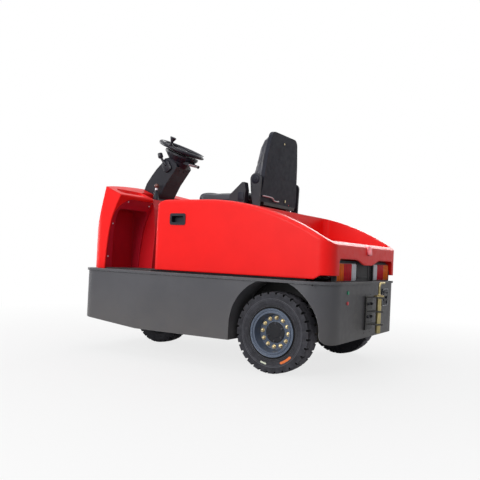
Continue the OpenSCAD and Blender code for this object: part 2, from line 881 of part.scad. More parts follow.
bead_at = [0, 0.5];
tread_at = [0, 0.72, 0.76, 0.96];
bulge_r = 173;
module tyre(r, w) {
    bulge = bulge_r + (r - rear_r) / 2;
    points = concat(
        tyre_ring(bead_at, barrel_r + 0.5, 0, -0.43 * w, 0),
        tyre_ring(bead_at, rim_r + 5, 0, -0.445 * w, 0),
        tyre_ring(tread_at, bulge, bulge, -0.5 * w, 0),
        tyre_ring(tread_at, r - 2.5, r - slot_depth, -0.485 * w, 0),
        tyre_ring(tread_at, r, r, -0.15 * w, 0),
        tyre_ring(tread_at, r, r, 0.15 * w, 0.5),
        tyre_ring(tread_at, r - 2.5, r - slot_depth, 0.485 * w, 0.5),
        tyre_ring(tread_at, bulge, bulge, 0.5 * w, 0.5),
        tyre_ring(bead_at, rim_r + 5, 0, 0.445 * w, 0),
        tyre_ring(bead_at, barrel_r + 0.5, 0, 0.43 * w, 0));
    // first point of each ring
    m = 2 * lugs;
    n = 4 * lugs;
    start = [0, m, 2 * m, 2 * m + n, 2 * m + 2 * n, 2 * m + 3 * n, 2 * m + 4 * n, 2 * m + 5 * n, 2 * m + 6 * n,
        3 * m + 6 * n];
    polyhedron(points, turned(concat(
        strip(start[0], start[1], m),
        bead_strip(start[1], start[2], 0),
        [for (i = [2:6]) for (f = strip(start[i], start[i + 1], n)) f],
        turned(bead_strip(start[8], start[7], 1)),
        strip(start[8], start[9], m),
        strip(start[9], start[0], m))));
}

disc_z = 12;
disc_t = 9;
// half of a rim's cross-section: radius and offset from the middle plane, outer side upwards
module rim_section(e) {
    translate([barrel_r - 6, -e]) square([6, 2 * e]);
    translate([barrel_r - 6, -e - 5]) square([rim_r - barrel_r + 6, 5]);
    polygon([[100, e - 4], [barrel_r - 6, e - 4], [barrel_r - 6, e], [rim_r, e], [rim_r, e + 6.5], [rim_r - 2, e + 6.5],
        [rim_r - 3, e + 5], [114, e + 5], [114, e + 1], [107, e + 1], [107, e + 5], [100, e + 5]]);
    polygon([[86, disc_z], [100, e + 5], [107, e - 4], [94, disc_z - disc_t], [86, disc_z - disc_t]]);
    translate([10, disc_z - disc_t]) square([80, disc_t]);
    translate([10, -32]) square([45, 32 + disc_z + 2]);
}

// rim turned about its axle, outer face towards +Y; the bore ends at bore_z
module rim(w, bore_z) {
    rotate([-90, 0, 0]) difference() {
        union() {
            rotate_extrude($fn = 72) rim_section(0.44 * w + 0.4);
            translate([0, 0, -32]) cylinder(r = 12, h = 32 + disc_z + 2);
        }
        translate([0, 0, -60]) cylinder(d = hub_bore, h = 60 + bore_z);
    }
}

module tyre_left() color("#222327") at_axle() translate([0, rear_y, rear_r]) tyre(rear_r, rear_w);
module tyre_right() color("#222327") at_axle() translate([0, -rear_y, rear_r]) tyre(rear_r, rear_w);
module rim_left() color("#5d6878") at_axle() translate([0, rear_y, rear_r]) rim(rear_w, cap_z);
module rim_right() color("#5d6878") at_axle() translate([0, -rear_y, rear_r]) mirror([0, 1, 0]) rim(rear_w, cap_z);
module front_tyre() color("#222327") at_axle() translate([wheelbase, 0, front_r]) tyre(front_r, front_w);
module front_rim() color("#5d6878") at_axle() translate([wheelbase, 0, front_r]) rim(front_w, 60);

skirt();
deck();
floor_mat();
frame();
battery();
rear_axle();
drive_motor();
lamp_panel();
lens_amber();
lens_red();
lens_clear();
jog_green();
jog_red();
rear_socket();
hitch_jaw();
slew_ring();
cowl();
liner();
pedestal();
headlamps();
column();
pod();
switch_pad();
direction_lever();
brake_lever();
pedals();
hood_hinges();
hood();
hood_handles();
hood_latch();
seat_base();
cushion();
back_pad();
back_shell();
seat_arms();
belt_reels();
steering_wheel();
fork();
front_tyre();
front_rim();
tyre_left();
rim_left();
tyre_right();
rim_right();
hitch_pin();
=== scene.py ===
import math

import bmesh
import bpy
from mathutils import Matrix, Vector


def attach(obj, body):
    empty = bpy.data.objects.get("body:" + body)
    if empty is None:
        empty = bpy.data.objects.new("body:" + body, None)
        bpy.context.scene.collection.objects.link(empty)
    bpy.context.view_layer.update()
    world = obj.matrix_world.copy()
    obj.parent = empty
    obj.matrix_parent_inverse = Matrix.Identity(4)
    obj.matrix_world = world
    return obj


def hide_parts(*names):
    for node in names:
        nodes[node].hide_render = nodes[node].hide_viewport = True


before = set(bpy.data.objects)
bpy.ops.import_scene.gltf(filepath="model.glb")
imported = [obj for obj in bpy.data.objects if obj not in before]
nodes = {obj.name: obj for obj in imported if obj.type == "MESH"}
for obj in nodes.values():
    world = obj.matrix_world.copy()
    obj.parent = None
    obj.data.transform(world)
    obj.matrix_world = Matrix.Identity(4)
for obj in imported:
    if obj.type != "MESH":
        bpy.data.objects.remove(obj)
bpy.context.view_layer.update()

# driving places and sizes of the CAD, in metres
AXLE_X = -0.4545
REAR_R = 0.2075
FRONT_R = 0.193
REAR_Y = 0.438
# the steered wheel's axis ahead of the rear axle, in millimetres
WHEELBASE = 1093

REAR, LEFT, RIGHT, UP = (-1, 0, 0), (0, 1, 0), (0, -1, 0), (0, 0, 1)


def at(x, y, z):
    """A place in metres from millimetres ahead of the rear axle, to the left and above the floor."""
    return Vector((AXLE_X + x / 1000, y / 1000, z / 1000))


def at_front(x, y, z):
    """The same from the steered wheel's axis."""
    return at(WHEELBASE + x, y, z)


def lin(r, g, b):
    """A colour read from 0 to 255 as a linear one."""
    parts = [c / 255 for c in (r, g, b)]
    return tuple(c / 12.92 if c < 0.0404 else ((c + 0.055) / 1.055) ** 2.4 for c in parts) + (1.0,)


# camera, fitted to the photograph

CAM_PLACE = Vector((-1.9081, 3.1333, 0.5830))
CAM_YAW, CAM_PITCH, CAM_ROLL = -1.0757, 0.0146, 0.0455
CAM_FOCAL_PX = 597.1
CAM_SHIFT_PX = (-40, 10)
PHOTO_PX = 480
SENSOR_MM = 36


def make_camera():
    data = bpy.data.cameras.new("camera")
    cam = bpy.data.objects.new("camera", data)
    bpy.context.scene.collection.objects.link(cam)
    level = math.cos(CAM_PITCH)
    w = Vector((math.cos(CAM_YAW) * level, math.sin(CAM_YAW) * level, math.sin(CAM_PITCH)))
    r = w.cross(Vector(UP)).normalized()
    u = r.cross(w)
    c, s = math.cos(CAM_ROLL), math.sin(CAM_ROLL)
    r, u = c * r + s * u, c * u - s * r
    m = Matrix((r, u, -w)).transposed().to_4x4()
    m.translation = CAM_PLACE
    cam.matrix_world = m
    data.sensor_width = SENSOR_MM
    data.lens = CAM_FOCAL_PX / PHOTO_PX * SENSOR_MM
    data.shift_x = CAM_SHIFT_PX[0] / PHOTO_PX
    data.shift_y = CAM_SHIFT_PX[1] / PHOTO_PX
    data.clip_end = 60
    bpy.context.scene.camera = cam


# material helpers

class Shade:
    """A new material and short ways to add nodes to it."""

    def __init__(self, name, rough=0.5, metal=0.0, **sockets):
        self.mat = bpy.data.materials.new(name)
        self.mat.use_nodes = True
        self.tree = self.mat.node_tree
        self.bsdf = self.tree.nodes["Principled BSDF"]
        self.bsdf.inputs["Roughness"].default_value = rough
        self.bsdf.inputs["Metallic"].default_value = metal
        for key, value in sockets.items():
            self.bsdf.inputs[key.replace("_", " ")].default_value = value
        self.coord = self.node("ShaderNodeTexCoord").outputs["Object"]
        self.height = None

    def node(self, kind, **values):
        n = self.tree.nodes.new(kind)
        for key, value in values.items():
            if hasattr(n, key):
                setattr(n, key, value)
            else:
                n.inputs[key.replace("_", " ")].default_value = value
        return n

    def link(self, a, b):
        self.tree.links.new(a, b)

    def noise(self, scale, detail=4.0, rough=0.6, stretch=None):
        n = self.node("ShaderNodeTexNoise", Scale=scale, Detail=detail, Roughness=rough)
        source = self.coord
        if stretch:
            mapping = self.node("ShaderNodeMapping")
            mapping.inputs["Scale"].default_value = stretch
            self.link(self.coord, mapping.inputs["Vector"])
            source = mapping.outputs["Vector"]
        self.link(source, n.inputs["Vector"])
        return n.outputs["Fac"]

    def cells(self, scale, feature="F1"):
        n = self.node("ShaderNodeTexVoronoi", Scale=scale, feature=feature)
        self.link(self.coord, n.inputs["Vector"])
        return n.outputs["Distance"]

    def axis(self, index):
        n = self.node("ShaderNodeSeparateXYZ")
        self.link(self.coord, n.inputs[0])
        return n.outputs[index]

    def ramp(self, fac, stops):
        n = self.node("ShaderNodeValToRGB")
        n.color_ramp.interpolation = "EASE"
        el = n.color_ramp.elements
        while len(el) < len(stops):
            el.new(0.5)
        for e, (pos, value) in zip(el, stops):
            e.position = pos
            e.color = value if hasattr(value, "__len__") else (value, value, value, 1.0)
        self.link(fac, n.inputs["Fac"])
        return n.outputs["Color"]

    def span(self, value, a, b, lo=0.0, hi=1.0):
        n = self.node("ShaderNodeMapRange")
        for key, v in (("From Min", a), ("From Max", b), ("To Min", lo), ("To Max", hi)):
            n.inputs[key].default_value = v
        self.link(value, n.inputs["Value"])
        return n.outputs["Result"]

    def math(self, op, a, b=0.0):
        n = self.node("ShaderNodeMath", operation=op)
        for i, v in enumerate((a, b)):
            if hasattr(v, "is_output"):
                self.link(v, n.inputs[i])
            else:
                n.inputs[i].default_value = v
        return n.outputs[0]

    def mix(self, fac, a, b):
        n = self.node("ShaderNodeMix", data_type="RGBA")
        for key, v in (("Factor", fac), ("A", a), ("B", b)):
            socket = [s for s in n.inputs if s.name == key and (key == "Factor" or s.type == "RGBA")][0]
            if hasattr(v, "is_output"):
                self.link(v, socket)
            else:
                socket.default_value = v
        return [s for s in n.outputs if s.type == "RGBA"][0]

    def color(self, value):
        self.link(value, self.bsdf.inputs["Base Color"])

    def roughness(self, value):
        self.link(value, self.bsdf.inputs["Roughness"])

    def bump(self, value, strength=0.2, distance=0.001):
        n = self.node("ShaderNodeBump", Strength=strength, Distance=distance)
        self.link(value, n.inputs["Height"])
        if self.height is not None:
            self.link(self.height, n.inputs["Normal"])
        self.height = n.outputs["Normal"]
        self.link(self.height, self.bsdf.inputs["Normal"])

    def radius(self, x, z):
        """Distance from an axle that runs from left to right."""
        squares = []
        for index, middle in ((0, x), (2, z)):
            away = self.math("SUBTRACT", self.axis(index), middle)
            squares.append(self.math("MULTIPLY", away, away))
        return self.math("SQRT", self.math("ADD", *squares))

    def soft_edges(self, radius):
        """Shades the mesh as if its edges were rounded."""
        self.height = self.node("ShaderNodeBevel", samples=6, Radius=radius).outputs[0]
        self.link(self.height, self.bsdf.inputs["Normal"])
        self.link(self.height, self.bsdf.inputs["Coat Normal"])

    def edges(self, radius=0.004, gain=9.0):
        """1 along convex and concave edges of the mesh, 0 elsewhere."""
        bevel = self.node("ShaderNodeBevel", samples=4, Radius=radius)
        geometry = self.node("ShaderNodeNewGeometry")
        dot = self.node("ShaderNodeVectorMath", operation="DOT_PRODUCT")
        self.link(bevel.outputs[0], dot.inputs[0])
        self.link(geometry.outputs["Normal"], dot.inputs[1])
        return self.span(dot.outputs["Value"], 1.0, 1.0 - 1.0 / gain)


# road dust, and the heights in metres where it starts and where it is full
DUST = lin(120, 112, 100)
DUST_TOP, DUST_FULL = 0.40, 0.14


def painted(name, base, dark, rough, coat=0.0, peel=0.02, dust=0.0, edge_wear_and_highlight=None, chips=60, gloss=0.5,
            soft=0.002):
    """Sprayed paint: slow drift in tone, road dust low down, worn edges in chips, or one lighter line along
    every edge, which on the rims is a painted highlight.
    """
    s = Shade(name, rough=rough, Coat_Weight=coat, Coat_Roughness=0.16, Specular_IOR_Level=gloss)
    tone = s.mix(s.ramp(s.noise(3.0, 5), [(0.3, 0.0), (0.7, 1.0)]), base, dark)
    if dust:
        low = s.span(s.axis(2), DUST_TOP, DUST_FULL)
        patch = s.math("MULTIPLY", low, s.noise(14, 6, 0.7))
        tone = s.mix(s.math("MULTIPLY", patch, dust), tone, DUST)
    # edges lighter: chips of wear, or with chips at 0 one whole line; on the rims that line is a painted
    # highlight
    if edge_wear_and_highlight:
        edge = s.edges()
        if chips:
            edge = s.math("MULTIPLY", edge, s.ramp(s.noise(chips, 3), [(0.45, 0.0), (0.62, 1.0)]))
        tone = s.mix(edge, tone, edge_wear_and_highlight)
    s.color(tone)
    s.roughness(s.span(s.noise(30, 4), 0.3, 0.7, rough - 0.05, rough + 0.07))
    if soft:
        s.soft_edges(soft)
    if peel:
        s.bump(s.noise(420, 2), peel, 0.0006)
    return s.mat


def plastic(name, base, rough, grain=700, bump=0.15, gloss=0.4):
    """Moulded plastic with a fine grain."""
    s = Shade(name, rough=rough, Specular_IOR_Level=gloss)
    light = tuple(min(1, c * 1.35 + 0.003) for c in base[:3]) + (1,)
    s.color(s.mix(s.ramp(s.noise(9, 5), [(0.35, 0.0), (0.75, 1.0)]), base, light))
    s.roughness(s.span(s.noise(40, 3), 0.3, 0.7, rough - 0.06, rough + 0.08))
    s.bump(s.cells(grain), bump, 0.0004)
    return s.mat


# fine rings on a tyre's sidewall: their pitch, and both edges of their band, measured from the tread
RING_PITCH = 0.0042
RING_BAND = ((-0.078, -0.074), (-0.062, -0.066))


def rubber_tyre(name, x, r, y, half):
    """Tyre on an axle at x and height r, its middle at y: slots darkened as painted shade, dusty lugs, fine
    rings on the side.
    """
    s = Shade(name, rough=0.78, Specular_IOR_Level=0.3)
    worn = s.ramp(s.noise(26, 6, 0.7), [(0.35, lin(46, 46, 51)), (0.7, lin(64, 64, 70))])
    dusty = s.mix(s.math("MULTIPLY", s.noise(6, 4), s.edges(0.006, 3.0)), worn, lin(98, 96, 98))
    out = s.radius(x, r)
    across = s.math("ABSOLUTE", s.math("SUBTRACT", s.math("ABSOLUTE", s.axis(1)), y))
    tread = s.span(across, half, half - 0.003)
    # painted shade: the slots between the lugs are darkened almost to black
    slot = s.math("MULTIPLY", s.span(out, r - 0.003, r - 0.010), tread)
    crown = s.math("MULTIPLY", s.span(out, r - 0.0032, r - 0.0012), tread)
    worn_top = s.mix(s.ramp(s.noise(34, 4), [(0.3, 0.0), (0.7, 1.0)]), lin(88, 86, 92), lin(116, 114, 120))
    s.color(s.mix(slot, s.mix(crown, dusty, worn_top), lin(13, 13, 15)))
    s.roughness(s.span(s.noise(90, 3), 0.3, 0.7, 0.66, 0.86))
    s.bump(s.noise(900, 3), 0.2, 0.0005)
    rings = s.math("SINE", s.math("MULTIPLY", out, 2 * math.pi / RING_PITCH))
    band = s.math("MULTIPLY", *(s.span(out, r + a, r + b) for a, b in RING_BAND))
    s.bump(s.math("MULTIPLY", rings, band), 0.5, 0.0012)
    return s.mat


def vinyl():
    """Seat cover with a leather grain and a little sheen."""
    s = Shade("seat_vinyl", rough=0.42, Sheen_Weight=0.12, Sheen_Roughness=0.4)
    s.color(s.ramp(s.noise(16, 5), [(0.3, lin(25, 26, 36)), (0.75, lin(38, 40, 54))]))
    s.roughness(s.span(s.noise(50, 4), 0.3, 0.7, 0.34, 0.5))
    s.bump(s.cells(520, "DISTANCE_TO_EDGE"), 0.4, 0.0004)
    return s.mat


def metal(name, base, rough, grain=(1, 1, 1), scale=60):
    """Bare, plated or anodised metal; the grain stretches its pattern."""
    s = Shade(name, rough=rough, metal=1.0)
    dark = tuple(c * 0.62 for c in base[:3]) + (1,)
    s.color(s.mix(s.ramp(s.noise(scale, 6, 0.65, grain), [(0.35, 0.0), (0.7, 1.0)]), dark, base))
    s.roughness(s.span(s.noise(scale * 2, 4, 0.6, grain), 0.3, 0.7, rough - 0.08, rough + 0.12))
    s.bump(s.noise(scale * 6, 3, 0.6, grain), 0.1, 0.0003)
    return s.mat


def lens(name, base, strength=0.5):
    """Ribbed lamp glass."""
    s = Shade(name, rough=0.25, Specular_IOR_Level=0.15, Coat_Weight=0.05)
    deep = tuple(c * 0.45 for c in base[:3]) + (1,)
    wave = s.node("ShaderNodeTexWave", Scale=62.0, bands_direction="Y", Distortion=0.4)
    s.link(s.coord, wave.inputs["Vector"])
    s.color(s.mix(s.math("MULTIPLY", wave.outputs["Fac"], s.noise(40, 3)), base, deep))
    s.bump(wave.outputs["Fac"], strength, 0.001)
    return s.mat


def ribbed_mat():
    """Floor rubber with ribs along the vehicle."""
    s = Shade("floor_rubber", rough=0.7)
    wave = s.node("ShaderNodeTexWave", Scale=38.0, bands_direction="Y")
    s.link(s.coord, wave.inputs["Vector"])
    s.color(s.mix(s.noise(20, 5), lin(24, 24, 26), lin(46, 45, 45)))
    s.bump(wave.outputs["Fac"], 0.6, 0.002)
    return s.mat


RED = lin(250, 24, 22)
RED_DARK = lin(242, 20, 19)

MATERIALS = {}


def make_paints(m):
    m["hull"] = painted("hull_grey", lin(86, 86, 90), lin(79, 79, 83), 0.42, coat=0.1, dust=0.35,
                        edge_wear_and_highlight=lin(138, 138, 138), gloss=0.35)
    m["red"] = painted("body_red", RED, RED_DARK, 0.42, coat=0.06, peel=0.0, gloss=0.2, soft=0.012)
    # a darker copy of the body red for the pedestal: painted shade of the footwell
    m["inner"] = painted("red_painted_shade", lin(212, 22, 34), lin(200, 19, 30), 0.45, coat=0.04, peel=0.0,
                         gloss=0.2, soft=0.007)
    # the liner's own darker, bluer red, darkened further as painted shade of the footwell
    m["liner"] = painted("liner_red", lin(190, 27, 48), lin(176, 23, 43), 0.42, coat=0.08, peel=0.0,
                         gloss=0.2, soft=0.004)
    m["frame"] = painted("frame_black", lin(34, 34, 36), lin(24, 24, 26), 0.5, dust=0.8,
                         edge_wear_and_highlight=lin(90, 86, 80))
    # one lighter line along every edge of the jaw
    m["jaw"] = painted("jaw_black", lin(38, 38, 41), lin(27, 27, 30), 0.4, edge_wear_and_highlight=lin(128, 126, 118), chips=0)
    m["battery"] = painted("battery_grey", lin(64, 70, 80), lin(52, 58, 66), 0.5)
    m["iron"] = painted("axle_iron", lin(44, 44, 46), lin(30, 30, 32), 0.6, dust=1.0, peel=0.3)
    # painted highlight: one lighter line along every edge of the rim
    m["rim"] = painted("rim_blue_grey", lin(80, 91, 110), lin(68, 78, 95), 0.36, coat=0.2,
                       edge_wear_and_highlight=lin(120, 132, 150), chips=0, gloss=0.4)
    m["hub"] = painted("hub_black", lin(30, 31, 36), lin(22, 23, 28), 0.5, gloss=0.3)
    # plated metal drawn as near-white diffuse paint: its brightness is a painted reflection
    m["silver"] = painted("pale_silver_painted_reflection", lin(212, 214, 220), lin(190, 192, 200), 0.3, coat=0.5, peel=0.0)


def make_plastics(m):
    m["trim"] = plastic("trim_black", lin(23, 24, 34), 0.4, gloss=0.35)
    m["shell"] = plastic("shell_black", lin(16, 19, 33), 0.5, 480, 0.1, 0.2)
    m["panel"] = plastic("panel_grey", lin(52, 52, 54), 0.6, gloss=0.25)
    m["tyre_line"] = plastic("tyre_line", lin(84, 84, 90), 0.6, 300, 0.1)
    # near black: painted shadow line under the hood's walls
    m["gap_shade"] = plastic("gap_shade_strip", lin(18, 18, 20), 0.8, 300, 0.2, 0.2)
    m["green"] = plastic("button_green", lin(46, 150, 112), 0.3, 300, 0.05)
    m["button_red"] = plastic("button_red", lin(214, 70, 78), 0.3, 300, 0.05)
    m["orange_patch"] = plastic("orange_patch", lin(232, 118, 56), 0.5, 200, 0.05)
    m["pale_patch"] = plastic("pale_patch", lin(214, 218, 198), 0.5, 200, 0.05)
    # near black: painted shade inside holes
    m["dark"] = plastic("hole_painted_shade", lin(10, 10, 11), 0.8)
    m["wood"] = plastic("knob_brown", lin(96, 52, 44), 0.22, 300, 0.05, 0.6)


def make_metals(m):
    # pale pink: the latch's red lightened as a painted highlight of its lit face
    m["latch"] = metal("latch_pink_painted_highlight", lin(255, 132, 142), 0.34)
    m["cast"] = metal("motor_cast", lin(120, 122, 126), 0.55)
    m["gold"] = metal("bolt_gold", lin(232, 214, 170), 0.3)
    m["zinc"] = metal("pin_zinc", lin(206, 190, 138), 0.34, (1, 1, 0.15), 40)
    m["steel"] = metal("bright_steel", lin(214, 216, 222), 0.24)
    m["black_bolt"] = metal("black_bolt", lin(92, 92, 98), 0.45)


def make_materials():
    make_paints(MATERIALS)
    make_plastics(MATERIALS)
    make_metals(MATERIALS)
    MATERIALS["tyre"] = rubber_tyre("tyre", AXLE_X, REAR_R, REAR_Y, 0.053)
    MATERIALS["front_tyre"] = rubber_tyre("front_tyre", AXLE_X + WHEELBASE / 1000, FRONT_R, 0.0, 0.05)
    MATERIALS["vinyl"] = vinyl()
    MATERIALS["mat"] = ribbed_mat()
    MATERIALS["amber"] = lens("lens_amber", lin(252, 118, 26))
    MATERIALS["lamp_red"] = lens("lens_red", lin(220, 22, 44))
    MATERIALS["clear"] = lens("lens_clear", lin(240, 240, 246), 0.8)


# material of each CAD node
NODE_MATERIALS = {
    "hull": ["skirt", "deck"],
    "red": ["cowl", "hood", "hood_latch"],
    # the pedestal takes the darker red of painted shade
    "inner": ["pedestal"],
    "liner": ["liner"],
    "frame": ["frame", "slew_ring", "fork", "hood_hinges", "seat_base"],
    "jaw": ["hitch_jaw"],
    "trim": ["column", "pod", "switch_pad", "direction_lever", "brake_lever", "hood_handles", "seat_arms",
             "belt_reels", "steering_wheel", "rear_socket"],
    "shell": ["back_shell"],
    "panel": ["lamp_panel"],
    "battery": ["battery"],
    "iron": ["rear_axle"],
    "cast": ["drive_motor"],
    "rim": ["rim_left", "rim_right", "front_rim"],
    "zinc": ["hitch_pin"],
    "tyre": ["tyre_left", "tyre_right"],
    "front_tyre": ["front_tyre"],
    "mat": ["floor_mat", "pedals"],
    "vinyl": ["cushion", "back_pad"],
    "amber": ["lens_amber"],
    "lamp_red": ["lens_red"],
    "clear": ["lens_clear", "headlamps"],
    "green": ["jog_green"],
    "button_red": ["jog_red"],
}


def dress_nodes():
    for key, names in NODE_MATERIALS.items():
        for name in names:
            slots = nodes[name].data.materials
            slots.clear()
            slots.append(MATERIALS[key])


# piece helpers

def basis(axis):
    """Two directions square to an axis, and the axis itself at unit length."""
    w = Vector(axis).normalized()
    side = Vector((0, 0, 1)) if abs(w.z) < 0.9 else Vector((1, 0, 0))
    u = side.cross(w).normalized()
    return u, w.cross(u), w


def circle(n, turn=0.0):
    """Cosine and sine of n even steps round a circle, from an angle in radians."""
    angles = [turn + 2 * math.pi * k / n for k in range(n)]
    return [(math.cos(a), math.sin(a)) for a in angles]


def rounded(w, h, r, n=5):
    """Outline of a rounded rectangle about the origin, anticlockwise."""
    x, y = w / 2 - r, h / 2 - r
    out = []
    for k, (cx, cy) in enumerate(((x, y), (-x, y), (-x, -y), (x, -y))):
        for i in range(n + 1):
            a = math.pi / 2 * (k + i / n)
            out.append((cx + r * math.cos(a), cy + r * math.sin(a)))
    return out


class Forms:
    """Points and faces of one piece, gathered from closed forms; sizes in millimetres, places in metres."""

    def __init__(self):
        self.verts, self.faces = [], []

    def rings(self, rings, loop=False):
        """Skin through rings of points, capped at both ends unless it runs back into itself."""
        start, n, count = len(self.verts), len(rings[0]), len(rings)
        for ring in rings:
            self.verts += [tuple(p) for p in ring]
        for i in range(count if loop else count - 1):
            a, b = start + i * n, start + (i + 1) % count * n
            self.faces += [(a + k, a + (k + 1) % n, b + (k + 1) % n, b + k) for k in range(n)]
        if not loop:
            self.faces.append(tuple(range(start + n - 1, start - 1, -1)))
            self.faces.append(tuple(range(start + (count - 1) * n, start + count * n)))
        return self

    def lathe(self, place, axis, profile, n=20, turn=0.0):
        """Turned form: profile of radius and height from its foot up."""
        u, v, w = basis(axis)
        return self.rings([[Vector(place) + (u * c + v * s) * (r / 1000) + w * (h / 1000)
                            for c, s in circle(n, turn)] for r, h in profile])

    def tube(self, points, radius, n=12):
        """Round rod through points; radius is one number or one a point."""
        pts = [Vector(p) for p in points]
        radii = radius if hasattr(radius, "__len__") else [radius] * len(pts)
        last = len(pts) - 1
        ahead = [(pts[min(i + 1, last)] - pts[max(i - 1, 0)]).normalized() for i in range(last + 1)]
        u = basis(ahead[0])[0]
        rings = []
        for p, d, r in zip(pts, ahead, radii):
            u = (u - d * u.dot(d)).normalized()
            v = d.cross(u)
            rings.append([p + (u * c + v * s) * (r / 1000) for c, s in circle(n)])
        return self.rings(rings)

    def hoop(self, centre, u, v, r, thick, n=8):
        """Closed ring of round section in the plane of u and v: radius and half thickness."""
        u, v = Vector(u), Vector(v)
        w = u.cross(v)
        rings = []
        for c, s in circle(96):
            d = u * c + v * s
            rings.append([centre + (d * (r + thick * a) + w * (thick * b)) / 1000 for a, b in circle(n)])
        return self.rings(rings, loop=True)

    def border(self, place, u, v, steps):
        """Frame through outlines in u and v, each with its height along their cross product."""
        u, v = Vector(u), Vector(v)
        w = u.cross(v)
        return self.rings([[place + (u * x + v * y + w * h) / 1000 for x, y in outline]
                           for outline, h in steps], loop=True)

    def slab(self, place, u, v, outline, depth, edge=1.0):
        """Plate with softened upper edges: an outline in u and v, raised along their cross product."""
        u, v = Vector(u).normalized(), Vector(v).normalized()
        w = u.cross(v)
        cx = sum(p[0] for p in outline) / len(outline)
        cy = sum(p[1] for p in outline) / len(outline)
        rings = []
        for inset, h in ((0, 0), (0, depth - edge), (edge * 0.3, depth - edge * 0.3), (edge, depth)):
            ring = []
            for x, y in outline:
                d = math.hypot(x - cx, y - cy) or 1
                f = 1 - inset / d
                x, y = cx + (x - cx) * f, cy + (y - cy) * f
                ring.append(Vector(place) + (u * x + v * y + w * h) / 1000)
            rings.append(ring)
        return self.rings(rings)

    def band(self, centre, u, v, w, r0, r1, a0, a1, h0, h1, n=16):
        """Arc-shaped patch between two radii and two angles in degrees, from height h0 to h1 along w."""
        mid, half = (r0 + r1) / 2, (r1 - r0) / 2
        rings = []
        for i in range(n + 1):
            t = i / n
            a = math.radians(a0 + (a1 - a0) * t)
            end = min(t, 1 - t) * math.radians(abs(a1 - a0)) * mid
            k = math.sqrt(max(0.04, 1 - (1 - min(1, end / half)) ** 2))
            d = Vector(u) * math.cos(a) + Vector(v) * math.sin(a)
            rings.append([Vector(centre) + (d * (mid + q * half * k) + Vector(w) * h) / 1000
                          for q, h in ((-1, h0), (-1, h1), (1, h1), (1, h0))])
        return self.rings(rings)

    def piece(self, name, material, body, slot, sharp=40):
        mesh = bpy.data.meshes.new(name)
        mesh.from_pydata(self.verts, [], self.faces)
        mesh.validate()
        work = bmesh.new()
        work.from_mesh(mesh)
        bmesh.ops.recalc_face_normals(work, faces=work.faces)
        work.to_mesh(mesh)
        work.free()
        mesh.materials.append(MATERIALS[material])
        mesh.shade_smooth()
        mesh.set_sharp_from_angle(angle=math.radians(sharp))
        obj = bpy.data.objects.new(name, mesh)
        bpy.context.scene.collection.objects.link(obj)
        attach(obj, body)
        return obj


def hexagon(forms, place, axis, size=8.0, height=7.0, turn=0.0):
    """Hex nut on a washer with a short stud end."""
    stud = size * 0.5
    forms.lathe(place, axis, [(size * 1.22, 0), (size * 1.22, 1.2), (size * 1.14, 1.8)], 20)
    forms.lathe(place, axis, [(size, 1.5), (size, height - 1), (size * 0.88, height)], 6, turn)
    forms.lathe(place, axis, [(stud, height - 1), (stud, height + 2.4), (size * 0.36, height + 3)], 12)


def dot(forms, place, axis, r, depth=0.6):
    """Small round patch or screw head."""
    forms.lathe(place, axis, [(r, -0.5), (r, depth * 0.6), (r * 0.85, depth)], 20)


# wheels, measured from the axle and from the wheel's middle plane

NUT_CIRCLE, STUD_CIRCLE = 74, 44
# turn of the nuts in the photograph, in degrees
BOLT_PHASE = 3.0
# outer faces of the disc, the hub's seat and the sidewall
DISC_Y, PLATE_Y, SIDE_Y = 12, 14, 53.6
# radius and height
HUB_PLATE = [(54, 0), (54, 1.6), (52.4, 2.6), (30, 2.6), (29, 3.8), (0.5, 3.8)]
# raised lines on the sidewall: radius, place outwards, half thickness
SIDE_LINES = ((172.2, 55.4, 1.5), (166, 54.7, 0.9), (135, 50.3, 1.1), (141, 51.2, 0.7))
# bare marks on the sidewall: name, inner and outer radius, first and last angle, material
SIDE_MARKS = (("warm", 151, 163, -137, -111, "orange_patch"), ("pale", 155, 163.5, -82, -69, "pale_patch"))


def dress_wheel(tag, side):
    """Nuts, hub plate and sidewall of a rear wheel; side is 1 on the left and -1 on the right."""
    body = "rear_wheel_" + tag
    axis, ahead = (0, side, 0), (side, 0, 0)
    middle, height = side * REAR_Y * 1000, REAR_R * 1000

    def place(r, degrees, out):
        a = math.radians(degrees)
        return at(r * math.cos(a), middle + side * out, height + r * math.sin(a))

    nuts = Forms()
    for k in range(12):
        hexagon(nuts, place(NUT_CIRCLE, BOLT_PHASE + 30 * k, DISC_Y), axis, 9, 9.5, 0.3 * k)
    nuts.piece("wheel_nuts_" + tag, "gold", body, "pin_zinc", 30)
    plate = Forms()
    plate.lathe(place(0, 0, PLATE_Y), axis, HUB_PLATE, 48)
    plate.piece("hub_plate_" + tag, "hub", body, "trim_black", 30)
    studs = Forms()
    for k in range(6):
        hexagon(studs, place(STUD_CIRCLE, BOLT_PHASE + 30 + 60 * k, PLATE_Y + 2.6), axis, 5.6, 4.2)
    studs.piece("hub_studs_" + tag, "black_bolt", body, "trim_black", 30)
    lines = Forms()
    for r, out, thick in SIDE_LINES:
        lines.hoop(place(0, 0, out), (1, 0, 0), UP, r, thick)
    lines.piece("sidewall_lines_" + tag, "tyre_line", body, "tyre_black", 60)
    for key, r0, r1, a0, a1, material in SIDE_MARKS:
        mark = Forms()
        mark.band(place(0, 0, 0), ahead, UP, axis, r0, r1, a0, a1, 50, SIDE_Y + 1.2)
        mark.piece(key + "_mark_" + tag, material, body, "tyre_black", 50)


def make_wheels():
    for tag, side in (("left", 1), ("right", -1)):
        dress_wheel(tag, side)


# rear end, measured from the rear axle

SKIRT_REAR, SKIRT_SIDE = -325, 545


